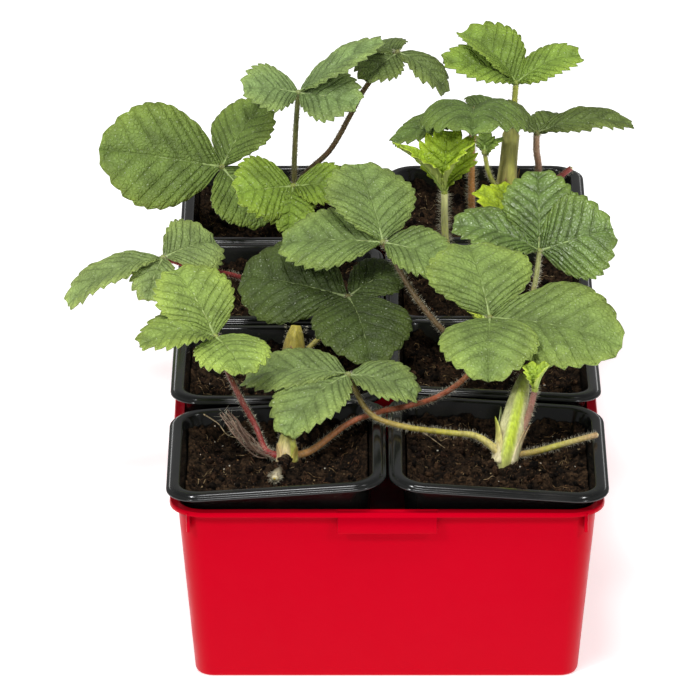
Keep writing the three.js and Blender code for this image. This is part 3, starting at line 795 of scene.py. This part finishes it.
def make_tray():
    """One thin wall from the floor up to the flange, with label plates, their recesses and lugs."""
    flange_z = TRAY_HEIGHT - FLANGE_THICKNESS
    front_y = TRAY_TOP["half_y"] + FLANGE_REACH
    recess_side = LABEL_RECESS["width"] / 2
    stops = (recess_side + 0.2, recess_side - 0.2, 0, 0.2 - recess_side, -recess_side - 0.2)

    def ring(base, out, z, corner=None):
        return rounded_ring(base["half_x"] + out, base["half_y"] + out,
                            corner or base["corner"] + out, z, stops)

    recess_far = front_y - LABEL_RECESS["from_edge"]
    recess_near = recess_far - LABEL_RECESS["reach"]
    out_far = recess_far - TRAY_TOP["half_y"]
    out_near = recess_near - TRAY_TOP["half_y"]
    far_corner, near_corner = (FLANGE_CORNER - (FLANGE_REACH - out) * 1.3 for out in (out_far, out_near))
    profile = [
        *(ring(TRAY_FOOT, out, z) for out, z in ((-9, 0.7), (-6, 0), (-1.8, 0), (-0.6, 0.5), (0, 1.8))),
        *(ring(TRAY_TOP, out, flange_z + z) for out, z in ((-0.3, -3), (0.1, -0.5), (0.6, 0))),
        *(ring(TRAY_TOP, FLANGE_REACH - inset, z, FLANGE_CORNER - inset) for inset, z in (
            (0.7, flange_z), (0.1, flange_z - 0.35), (0, flange_z + 0.1),
            (0.1, TRAY_HEIGHT - 0.45), (0.5, TRAY_HEIGHT))),
        *(ring(TRAY_TOP, out, TRAY_HEIGHT, corner) for out, corner in (
            (out_far - 0.1, far_corner), (out_far - 0.3, far_corner),
            (out_near + 0.2, near_corner), (out_near, near_corner))),
        ring(TRAY_TOP, -TRAY_WALL, TRAY_HEIGHT - 0.6),
        ring(TRAY_FOOT, -TRAY_WALL, TRAY_FLOOR + 1.5),
        ring(TRAY_FOOT, -TRAY_WALL - 1.2, TRAY_FLOOR),
    ]
    for recess_ring in profile[14:16]:
        for point in recess_ring:
            if abs(point.x) < recess_side and abs(point.y) > TRAY_TOP["half_y"] - 2:
                point.z -= LABEL_RECESS["depth"]
    bm = new_shape()
    loft(bm, profile, [linear("#D70023")] * len(profile))
    height = LABEL_PLATE["drop"] + 0.5
    reach = FLANGE_REACH + TRAY_WALL / 2
    for side in (-1, 1):
        add_box(bm, (0, side * (front_y - LABEL_PLATE["thickness"] / 2), flange_z + 0.5 - height / 2),
                (LABEL_PLATE["width"], LABEL_PLATE["thickness"], height), 0.4)
        for hand in (-1, 1):
            lug_x = hand * (TRAY_TOP["half_x"] - LUG["from_side"])
            add_box(bm, (lug_x, side * (front_y - reach / 2 - 1.6), flange_z + 0.5 - LUG["height"] / 2),
                    (LUG["width"], reach, LUG["height"] + 0.5), 0.5)
    bmesh.ops.recalc_face_normals(bm, faces=bm.faces)
    add_piece("red_tray", bm, "tray", "tray", TRAY_RED, crisp=40)


def add_box(bm, centre, size, rounding):
    """A rounded block."""
    block = bmesh.ops.create_cube(bm, size=1)["verts"]
    bmesh.ops.scale(bm, vec=size, verts=block)
    bmesh.ops.translate(bm, vec=centre, verts=block)
    edges = list({e for v in block for e in v.link_edges})
    bmesh.ops.bevel(bm, geom=edges, offset=rounding, segments=2, profile=0.5, affect="EDGES",
                    material=-1)


# Pots

def pot_matrix(pot):
    """Places a pot so that its lowest edge stands just above the tray's floor."""
    x, y = pot[:2]
    roll, pitch = (math.radians(lean) for lean in pot[2:])
    turn = Matrix.Rotation(pitch, 4, "X") @ Matrix.Rotation(roll, 4, "Y")
    lift = FOOT_HALF * (abs(math.sin(roll)) + abs(math.sin(pitch)))
    rim = turn @ Vector((0, 0, POT_HEIGHT))
    place = Vector((x - rim.x, y - rim.y, TRAY_FLOOR + SEAT_GAP + lift))
    return Matrix.Translation(place) @ turn


def pot_section(height, inset=0):
    """Half width and corner radius of the pot's outside at a height above its foot."""
    share = height / (POT_HEIGHT - LIP_DROP)
    half = FOOT_HALF + (BODY_HALF - FOOT_HALF) * share - inset
    corner = FOOT_CORNER + (BODY_CORNER - FOOT_CORNER) * share - inset * 0.5
    return half, corner


def make_pot(place, matrix):
    """One thin wall from the drain hole over the rolled lip and down to the hole again."""
    lip_under = POT_HEIGHT - LIP_DROP
    body_half, body_corner = pot_section(lip_under)
    inner_half, inner_corner = pot_section(POT_HEIGHT - 3, POT_WALL)
    foot_in_half, foot_in_corner = pot_section(POT_WALL, POT_WALL)
    profile = [
        (DRAIN_HOLE_RADIUS, DRAIN_HOLE_RADIUS, 0),
        (FOOT_HALF - 1, FOOT_CORNER - 0.6, 0),
        (FOOT_HALF, FOOT_CORNER, 1),
        (body_half, body_corner, lip_under),
        (body_half + 0.5, body_corner + 0.4, lip_under + 0.5),
        (LIP_HALF - 2, LIP_CORNER - 1.4, lip_under + 0.35),
        *((LIP_HALF - inset, LIP_CORNER - inset * 0.75, POT_HEIGHT - drop) for inset, drop in LIP_PROFILE),
        (inner_half, inner_corner, POT_HEIGHT - 3),
        (foot_in_half, foot_in_corner, POT_WALL + 1),
        (foot_in_half - 1, foot_in_corner, POT_WALL),
        (DRAIN_HOLE_RADIUS, DRAIN_HOLE_RADIUS, POT_WALL),
        (DRAIN_HOLE_RADIUS, DRAIN_HOLE_RADIUS, 0),
    ]
    bm = new_shape()
    rings = [rounded_ring(half, half, min(corner, half), z) for half, corner, z in profile]
    loft(bm, rings, [linear("#1D2022")] * len(rings), cap_start=False, cap_end=False)
    bmesh.ops.remove_doubles(bm, verts=bm.verts, dist=0.001)
    bmesh.ops.recalc_face_normals(bm, faces=bm.faces)
    bmesh.ops.transform(bm, matrix=matrix, verts=bm.verts)
    add_piece(f"black_pot_{place}", bm, f"pot_{place}", "pot", POT_BLACK, crisp=50)


# Soil

def edge_reach(direction, half, corner):
    """How far a rounded square's edge lies from its middle in a direction."""
    x, y = sorted((abs(direction.x), abs(direction.y)), reverse=True)
    straight = half / x
    if straight * y <= half - corner:
        return straight
    centre = half - corner
    along = (x + y) * centre
    return along + math.sqrt(max(0, along * along - 2 * centre * centre + corner * corner))


def clod_relief(x, y, seed):
    """Height of the clods at a point."""
    return sum(depth * abs(noise.noise(Vector((x / size, y / size, seed * 3 + size))))
               for size, depth in SOIL_CLODS)


def soil_height(x, y, bed):
    """Height of the soil's surface over its level, in the pot's own frame."""
    seed, crown = bed["seed"], bed["crown"]
    lumps = math.sin(x * 0.31 + seed) * math.cos(y * 0.27 - 2 * seed)
    crumbs = math.sin(x * 0.53 - y * 0.47 + seed)
    away = math.hypot(x - crown.x, y - crown.y) / MOUND_RADIUS
    height = SOIL_RELIEF * (lumps + crumbs) + MOUND_HEIGHT * math.exp(-away * away) - 1.6
    height += clod_relief(x, y, seed)
    to_wall = max(0, max(abs(x), abs(y)) / bed["half"] - BANK_START) / (1 - BANK_START)
    ragged = 0.75 + 0.7 * noise.noise(Vector((x / 9, y / 9, seed + 40)))
    height += BANK_HEIGHT * to_wall ** 1.6 * ragged
    for heap_x, heap_y, spread, rise in bed["heaps"]:
        off = math.hypot(x - heap_x, y - heap_y) / spread
        height += rise * math.exp(-off * off)
    return height


def make_soil(place, pot, seed, matrix, crown):
    """Soil banked up to the pot's walls, with loose crumbs, fibres and stray roots on it."""
    rng = random.Random(100 + seed)
    inset = POT_WALL + SEAT_GAP
    half, corner = pot_section(SOIL_TOP, inset)
    heaps = [(x - pot[0], y - pot[1], spread, rise) for x, y, spread, rise in HEAPS.get(place, [])]
    bed = {"seed": seed, "crown": crown, "heaps": heaps, "half": half}
    bm = new_shape()
    shades = bm.verts.layers.float_color["tone"]
    cells = bmesh.ops.create_grid(bm, x_segments=SOIL_CELLS, y_segments=SOIL_CELLS, size=1)["verts"]
    for vert in cells:
        shell = max(abs(vert.co.x), abs(vert.co.y))
        flat = Vector((0, 0, 0))
        if shell > 0:
            direction = vert.co.normalized()
            flat = direction * shell * edge_reach(direction, half, corner)
        vert.co = (flat.x, flat.y, SOIL_TOP + soil_height(flat.x, flat.y, bed))
        # Painted shade: the soil is near black in the hollows between clods and browner on their tops
        share = within(clod_relief(vert.co.x, vert.co.y, seed) / 2.4 - 0.15)
        vert[shades] = mixed(linear("#0C0907"), linear("#382A1D"), share)
    rim = [e for e in bm.edges if e.is_boundary]
    grown = bmesh.ops.extrude_edge_only(bm, edges=rim)["geom"]
    foot_half, foot_corner = pot_section(POT_WALL + SEAT_GAP, inset)
    foot = set(verts_in(grown))
    for vert in foot:
        direction = Vector((vert.co.x, vert.co.y, 0)).normalized()
        flat = direction * edge_reach(direction, foot_half, foot_corner)
        vert.co = (flat.x, flat.y, POT_WALL + SEAT_GAP)
    bmesh.ops.edgeloop_fill(bm, edges=edges_between(grown, foot))
    bmesh.ops.recalc_face_normals(bm, faces=bm.faces)
    loose = new_shape()
    for number, smallest, largest, fineness, tones in CRUMBS:
        for _ in range(number):
            add_crumb(loose, rng, bed, rng.uniform(smallest, largest), fineness, rng.choice(tones))
    joined(bm, loose)
    fibres = new_shape()
    for number, shortest, longest in FIBRES:
        for _ in range(number):
            add_fibre(fibres, rng, bed, rng.uniform(shortest, longest))
    joined(bm, fibres)
    bmesh.ops.transform(bm, matrix=matrix, verts=bm.verts)
    for x, y, z in COVERING_CLODS.get(place, ()):
        for _ in range(5):
            off = Vector([rng.uniform(-1.6, 1.6) for _ in range(3)])
            add_lump(bm, rng, Vector((x, y, z)) + off, rng.uniform(0.9, 1.7), 2, rng.choice(SOIL_TONES))
    if place in STRAY_ROOTS:
        root = smooth_path(STRAY_ROOTS[place], 1.5)
        radii = [0.28 - 0.16 * i / len(root) for i in range(len(root))]
        add_tube(bm, root, radii, [linear("#B8A582")] * len(root), sides=6)
    add_piece(f"potting_soil_{place}", bm, f"soil_{place}", "soil", SOIL)


def add_crumb(bm, rng, bed, radius, fineness, tone):
    """One loose lump on the soil."""
    x, y = (rng.uniform(-1, 1) * (bed["half"] - 1.8) for _ in range(2))
    z = SOIL_TOP + soil_height(x, y, bed) + radius * 0.3
    add_lump(bm, rng, Vector((x, y, z)), radius, fineness, tone)


def add_lump(bm, rng, centre, radius, fineness, tone):
    """A rough round lump of soil."""
    lump = bmesh.ops.create_icosphere(bm, subdivisions=fineness, radius=radius)["verts"]
    stretch = [rng.uniform(0.65, 1.35) for _ in range(3)]
    for vert in lump:
        wobble = 1 + 0.5 * noise.noise(vert.co * 1.3 + centre)
        vert.co = Vector(c * s * wobble for c, s in zip(vert.co, stretch)) + centre
    paint(bm, lump, linear(tone))


def add_fibre(bm, rng, bed, step):
    """One root or peat fibre that lies on the soil."""
    x, y = (rng.uniform(-1, 1) * (bed["half"] - 3) for _ in range(2))
    heading = rng.uniform(0, 2 * math.pi)
    points = []
    for _ in range(5):
        z = SOIL_TOP + soil_height(x, y, bed) + rng.uniform(0.3, 1.0)
        points.append((x, y, z))
        heading += rng.uniform(-0.4, 0.4)
        x += step * math.cos(heading)
        y += step * math.sin(heading)
    if max(abs(x), abs(y)) > bed["half"] - 2:
        return
    path = smooth_path(points, 2.5)
    thick = rng.uniform(0.06, 0.12)
    tone = linear(rng.choice(FIBRE_TONES))
    add_tube(bm, path, [thick] * len(path), [tone] * len(path), sides=3)


# Plants

def tone_along(tones, share):
    """A colour part of the way along a row of colours."""
    spans = len(tones) - 1
    at = min(share * spans, spans - 0.001)
    first = int(at)
    return mixed(tones[first], tones[first + 1], at - first)


def make_crown(place, soil_top):
    """The crown with all its leaf stalks, their scales and their hair."""
    rng = random.Random(f"crown {place}")
    crown = CROWNS[place]
    tip, radius = Vector(crown["tip"]), crown["radius"]
    base = Vector((*crown["foot"], soil_top - ROOT_DEPTH))
    ground = Vector((*crown["foot"], soil_top))
    bm = new_shape()
    core, radii = [], []
    for height, scale in CROWN_GIRTH:
        core.append(base if height < 0 else ground.lerp(tip, height))
        radii.append(radius * max(scale, crown["top"]))
    if crown["top"] > CROWN_TOP:
        for rise, scale in ((1.5, 0.68), (3.5, 0.5), (6, 0.38)):
            core.append(tip + Vector((0.15, 0, 1)) * rise)
            radii.append(radius * scale)
    skin = add_tube(bm, core, radii, [linear(crown["sides"])] * len(core), sides=30, ridges=CROWN_RIDGES)
    tint_crown(bm, skin, ground, tip, crown)
    scales = SCALES.get(place) or [
        (index * 137 + rng.uniform(-20, 20), rng.uniform(0.5, 4),
         (tip - ground).length * rng.uniform(0.5, 0.7), radius * 0.6, rng.uniform(0.5, 2),
         crown["sides"], "#8A6A48") for index in range(4)]
    for scale in scales:
        add_scale(bm, ground, (tip - ground).normalized(), radius, scale)
    fuzz_path = smooth_path([ground, ground.lerp(tip, 0.5), tip], STALK_STEP)
    add_hairs(bm, fuzz_path, [radius * 0.9] * len(fuzz_path), 12, 1.5, rng)
    for stalk in (*LEAVES[place].values(), *BARE_STALKS.get(place, ())):
        add_stalk(bm, rng, stalk)
    bmesh.ops.recalc_face_normals(bm, faces=bm.faces)
    add_piece(f"plant_{place}", bm, f"crown_{place}", "stem", STALK, HAIR)


def tint_crown(bm, skin, ground, tip, crown):
    """Colours a crown: one bright ridge, paler sides, its own tone high up and an earthy foot."""
    layer = bm.verts.layers.float_color["tone"]
    way = level(crown["ridge_way"])
    sides, ridge, high = (linear(crown[part]) for part in ("sides", "ridge", "high"))
    earth, pale = linear("#4E3A2A"), linear("#CBC394")
    for vert in skin:
        height = (vert.co.z - ground.z) / (tip.z - ground.z)
        facing = (vert.co - ground.lerp(tip, within(height))).normalized().dot(way)
        tone = mixed(sides, ridge, within((facing - 0.88) / 0.07))
        tone = mixed(tone, pale, 0.65 * max(0, 1 - height / 0.28))
        tone = mixed(tone, high, 0.8 * min(1, max(0, height - 0.5) / 0.4))
        vert[layer] = mixed(earth, tone, within((height + 0.01) / 0.05))


def add_scale(bm, ground, ahead, radius, scale):
    """One pointed scale that clasps the crown and flares from it."""
    azimuth, start, length, breadth, flare, foot_tone, tip_tone = scale
    layer = bm.verts.layers.float_color["tone"]
    out = level(azimuth)
    out = (out - ahead * out.dot(ahead)).normalized()
    wide = ahead.cross(out)
    strip = bmesh.ops.create_grid(bm, x_segments=9, y_segments=4, size=1)["verts"]
    for vert in strip:
        t, w = (vert.co.x + 1) / 2, vert.co.y
        hug = w * breadth * (1 - t ** 1.7) / radius
        reach = radius * (1.06 - 0.12 * t) + flare * t ** 2.2
        vert[layer] = mixed(linear(foot_tone), linear(tip_tone), t * t)
        vert.co = (ground + ahead * (start + length * t)
                   + (out * math.cos(hug) + wide * math.sin(hug)) * reach)
    back = verts_in(bmesh.ops.extrude_face_region(bm, geom=faces_of(strip), use_keep_orig=True)["geom"])
    bmesh.ops.translate(bm, vec=-out * 0.35, verts=back)
    bmesh.ops.remove_doubles(bm, verts=strip + back, dist=0.02)


def add_stalk(bm, rng, stalk):
    """One stalk with its hair, thicker at the foot where it carries a leaf; a cut one ends in pith."""
    path = smooth_path(stalk["path"], STALK_STEP)
    shades = [linear(c) for c in stalk["stalk"]]
    if stalk.get("dead"):
        add_dead_stalk(bm, rng, path, stalk["radius"], shades)
        return
    last = len(path) - 1
    radii, tones = [], []
    for index in range(last + 1):
        share = index / last
        swell = 1.25 - 0.35 * min(1, share * 4) if "blades" in stalk else 1
        radii.append(stalk["radius"] * swell * (1 - 0.12 * share))
        tones.append(tone_along(shades, share))
    add_tube(bm, path, radii, tones, sides=10, ridges=RIDGES)
    ahead = (path[-1] - path[-2]).normalized()
    if stalk.get("frayed"):
        fray = [path[-1] - ahead * 1.5, path[-1]]
        add_hairs(bm, fray, [radii[-1]] * 2, FRAY_PER_MM, 2.0, rng, (0.1, 0.9))
    else:
        add_hairs(bm, path, radii, stalk["hairs"], stalk["hair"], rng)
    if stalk.get("cut"):
        for share, reach, tone in ((0.78, 0.35, "#DED6AE"), (0.34, 0.6, "#B9A03C")):
            pith = [path[-1], path[-1] + ahead * reach]
            add_tube(bm, pith, [radii[-1] * share, radii[-1] * share * 0.8], [linear(tone)] * 2, sides=10)


def add_dead_stalk(bm, rng, path, radius, shades):
    """A dried stalk: a loose felt of fine brown fibres that splay towards its end. The noise that
    they wander by would start from the clock if it weren't seeded."""
    noise.seed_set(STRAND_SEED)
    frames = ring_frames(path)
    last = len(path) - 1
    for _ in range(DEAD_STRANDS):
        angle = rng.uniform(0, 2 * math.pi)
        spread = radius * rng.uniform(0.1, 1.5)
        strand = []
        for index in range(rng.randint(0, last // 2), last + 1 - rng.randint(0, last // 3)):
            _, side, up = frames[index]
            share = index / last
            swing = angle + 1.8 * share
            reach = spread * (0.8 + 0.9 * share)
            wander = noise.noise_vector(Vector((share * 4, angle, spread))) * 1.5
            strand.append(path[index] + reach * (math.cos(swing) * side + math.sin(swing) * up) + wander)
        thick = rng.uniform(0.06, 0.2)
        tone = mixed(shades[0], shades[-1], rng.random())
        add_tube(bm, strand, [thick] * len(strand), [tone] * len(strand), sides=4)
    add_hairs(bm, path, [radius * 0.6] * len(path), 5, 3.6, rng, (-1.2, 1.2))


# Leaves

def blade_axes(heading, rise, roll):
    """Directions along a blade, to its right and up from its face."""
    heading, rise, roll = math.radians(heading), math.radians(rise), math.radians(roll)
    ahead = Vector((math.cos(rise) * math.cos(heading), math.cos(rise) * math.sin(heading), math.sin(rise)))
    right = ahead.cross(Vector((0, 0, 1))).normalized()
    right.rotate(Matrix.Rotation(roll, 3, ahead))
    return ahead, right, right.cross(ahead)


def tooth_count(width):
    """Teeth, and so veins, on each side of a blade."""
    if width < 12:
        return 5
    if width < 20:
        return 7
    return 9 if width < 30 else 10


def half_width(t, width, wedge=0):
    """Half of a blade's width at a share of its length; a wedge has a straight narrow base."""
    bulge = max(0, math.sin(math.pi * t ** BLADE_WIDEST)) ** BLADE_FULLNESS
    bulge *= math.sqrt(min(1, t / BLADE_FOOT))
    if wedge:
        bulge *= min(1, t / wedge) ** 0.8
    return 0.5 * width * bulge


def tooth_rise(phase):
    """How far a tooth stands out, from 0 in a notch to 1 at its tip."""
    phase %= 1
    if phase < TOOTH_TIP:
        return (phase / TOOTH_TIP) ** 0.6
    return ((1 - phase) / (1 - TOOTH_TIP)) ** 0.9


def add_blade(bm, blade, leaf, rng):
    """One toothed leaflet, puckered between the veins that run from its midrib to its teeth."""
    length, heading, rise, width, roll, arch, fold, droop = (*blade, *USUAL_BEND[len(blade) - 6:])
    ahead, right, up = blade_axes(heading, rise, roll)
    joint, tone, young = Vector(leaf["path"][-1]), linear(leaf["tone"]), leaf["young"]
    gloss, relief, wedge = leaf["gloss"], leaf["relief"], leaf["wedge"]
    teeth = tooth_count(width)
    seed = rng.uniform(0, 100)
    pucker = (YOUNG_PUCKER if young else PUCKER * relief) * length / teeth
    tooth = min(TOOTH_REACH, (YOUNG_TOOTH_SHARE if young else TOOTH_SHARE) * width) * leaf["toothed"]
    tint = rng.uniform(0.93, 1.07)
    base_tone = tuple(c * tint for c in tone[:3]) + (gloss,)
    rim_tone = (base_tone[0] * 1.3, base_tone[1] * 1.22, base_tone[2], gloss)
    valley_tone = tuple(c * (1 - 0.3 * relief) for c in base_tone[:3]) + (gloss,)
    layer = bm.verts.layers.float_color["tone"]
    grid = bmesh.ops.create_grid(bm, x_segments=teeth * TOOTH_STEPS, y_segments=2 * HALF_STEPS, size=1)
    top = grid["verts"]
    maps = {}
    for vert in top:
        s, w = (vert.co.x + 1) / 2, vert.co.y
        reach = abs(w)
        phase = s * teeth
        ends = min(1, s / 0.2, (1 - s) / 0.04) if 0 < s < 1 else 0
        out = tooth * tooth_rise(phase) * ends * reach ** 7
        narrowing = half_width(s, width, wedge) - half_width(min(1, s + 0.02), width, wedge)
        narrowing /= 0.02 * length
        square = math.hypot(1, narrowing)
        root = s ** VEIN_SWEEP
        along = length * (root + (s - root) * reach ** 0.9) + out * (narrowing / square + 0.55)
        wander = noise.noise(Vector((s * 8, w * 2.5, seed)))
        along += VEIN_WANDER * wander * (1 - reach ** 3) * min(1, s * 5)
        side = half_width(s, width, wedge) * reach + out / square
        side = math.copysign(side, w)
        t = within(along / length)
        vein = phase - TOOTH_TIP
        between = 1 - abs(2 * (vein % 1) - 1) ** 1.8
        room = (0.3 + 0.7 * reach) * (1 - 0.4 * reach ** 5) * min(1, s * 6, (1 - s) * 6)
        raised = fold * (1 - leaf["opens"] * t) * abs(side) - droop * side * side / width
        lift = 4 * t * (1 - t) * arch * length + raised
        lift += pucker * between * room - RIB_DIP * math.exp(-(side / RIB_DIP_REACH) ** 2)
        lift += WAVE_HEIGHT * noise.noise(Vector((along * 0.09, side * 0.09, seed))) * reach
        lift += RIPPLE_HEIGHT * noise.noise(Vector((along * 0.3, side * 0.3, seed)))
        lift -= EDGE_DROP * reach ** 8
        vert.co = joint + ahead * along + right * side + up * (lift + BLADE_THICKNESS / 2)
        # Painted shade: the valleys along the veins between the puckers are darker, the more so the deeper
        # the leaf's relief
        shaded = mixed(valley_tone, base_tone, min(1, 0.35 + 0.75 * between + 0.2 * reach))
        shaded = mixed(shaded, rim_tone, reach ** 4)
        outward = 0.82 + 0.3 * t
        vert[layer] = (*[c * outward for c in shaded[:3]], gloss)
        maps[vert] = (vein + 10, w)
    faces = faces_of(top)
    uv = bm.loops.layers.uv["UVMap"]
    for face in faces:
        for loop in face.loops:
            loop[uv].uv = maps[loop.vert]
    shell = bmesh.ops.extrude_face_region(bm, geom=faces, use_keep_orig=True)["geom"]
    bottom = verts_in(shell)
    bmesh.ops.translate(bm, vec=-up * BLADE_THICKNESS, verts=bottom)
    # Young undersides are paler: partly their own pale colour, partly painted light that stands in for light
    # through the thin young blade
    pale, share = (linear("#DCE87C"), 0.65) if young else (linear("#B4C494"), 0.35)
    paint(bm, bottom, mixed(base_tone, pale[:3] + (gloss,), share))
    for face in shell:
        if isinstance(face, bmesh.types.BMFace):
            face.material_index = 1
    bmesh.ops.remove_doubles(bm, verts=top + bottom, dist=0.02)
    add_midrib(bm, joint, blade, ahead, up, tone)


def add_midrib(bm, joint, blade, ahead, up, tone):
    """The raised rib under a leaflet, which is also its short stalk at the joint."""
    length, arch = blade[0], blade[5]
    rib_tone = mixed(tone, linear("#B9C98C"), 0.35)
    path, radii = [], []
    for step in range(RIB_STEPS + 1):
        t = step / RIB_STEPS * 0.94
        lift = 4 * t * (1 - t) * arch * length - 0.75 * min(1, t * 8)
        path.append(joint + ahead * length * t + up * lift)
        radii.append(RIB_RADIUS - RIB_TAPER * t ** 0.7)
    paint(bm, add_tube(bm, path, radii, [rib_tone] * len(path), sides=6), rib_tone, 2)


def make_leaf(place, name, leaf):
    """A leaf: its toothed leaflets and the knot where they meet its stalk."""
    rng = random.Random(f"leaf {place} {name}")
    bm = new_shape()
    for blade in leaf["blades"]:
        part = new_shape()
        add_blade(part, blade, leaf, rng)
        bmesh.ops.recalc_face_normals(part, faces=part.faces)
        joined(bm, part)
    joint, rise = Vector(leaf["path"][-1]), Vector((0, 0, KNOT_RADIUS))
    knot = bmesh.ops.create_icosphere(bm, subdivisions=2, radius=KNOT_RADIUS)["verts"]
    bmesh.ops.translate(bm, vec=joint, verts=knot)
    paint(bm, knot, mixed(linear(leaf["tone"]), linear("#B98F6A"), 0.15), 2)
    add_hairs(bm, [joint - rise, joint, joint + rise], [KNOT_RADIUS] * 3, 20, 1.4, rng, material=3)
    slot = "young" if leaf["young"] else "leaf"
    materials = (LEAF_TOP, LEAF_UNDER, STALK, HAIR)
    add_piece(f"leaflets_{place}_{name}", bm, f"leaf_{place}_{name}", slot, *materials)


make_tray()
for index, (place, pot) in enumerate(POTS.items()):
    matrix = pot_matrix(pot)
    soil_top = matrix.translation.z + SOIL_TOP
    crown_in_pot = matrix.inverted() @ Vector((*CROWNS[place]["foot"], soil_top))
    make_pot(place, matrix)
    make_soil(place, pot, index, matrix, crown_in_pot)
    make_crown(place, soil_top)
    for name, leaf in LEAVES[place].items():
        make_leaf(place, name, leaf)


# Stage: pale floor, soft light and the camera

def make_floor():
    """A pale floor, a little bright in itself so that it stays white away from the tray."""
    bm = bmesh.new()
    bmesh.ops.create_circle(bm, cap_ends=True, segments=64, radius=6)
    floor = add_object("pale_floor", mesh_of("pale_floor", bm))
    material, tree, place = start_material("pale matte floor")
    floor.data.materials.append(finish_material(material, {
        "Base Color": blended(tree, clouds(tree, place, 125, 2), "#F2F2F1", "#F6F6F6"),
        "Roughness": 0.9,
        "Emission Color": (1, 1, 1, 1),
        "Emission Strength": 0.5,
    }))


def add_light(name, place, size, power):
    """A soft square lamp that faces the plants."""
    data = bpy.data.lights.new(name, "AREA")
    data.size = size
    data.energy = power
    lamp = add_object(name, data)
    lamp.location = place
    lamp.rotation_euler = (Vector(LAMP_TARGET) - Vector(place)).to_track_quat("-Z", "Y").to_euler()


def make_camera():
    """The camera at the photo's angle, far away and narrow."""
    data = bpy.data.cameras.new("camera")
    data.sensor_width = CAMERA_SENSOR
    data.lens = CAMERA_LENS
    data.clip_start, data.clip_end = 0.1, 30
    camera = add_object("camera", data)
    camera.location = CAMERA_PLACE
    camera.rotation_euler = (CAMERA_TILT, 0, 0)
    bpy.context.scene.camera = camera


make_floor()
for name, place, size, power in LAMPS:
    add_light(name, place, size, power)
world = bpy.data.worlds.new("studio")
world.use_nodes = True
world.node_tree.nodes["Background"].inputs["Color"].default_value = (1, 1, 1, 1)
world.node_tree.nodes["Background"].inputs["Strength"].default_value = 0.3
bpy.context.scene.world = world
bpy.context.scene.view_settings.view_transform = "Standard"
make_camera()
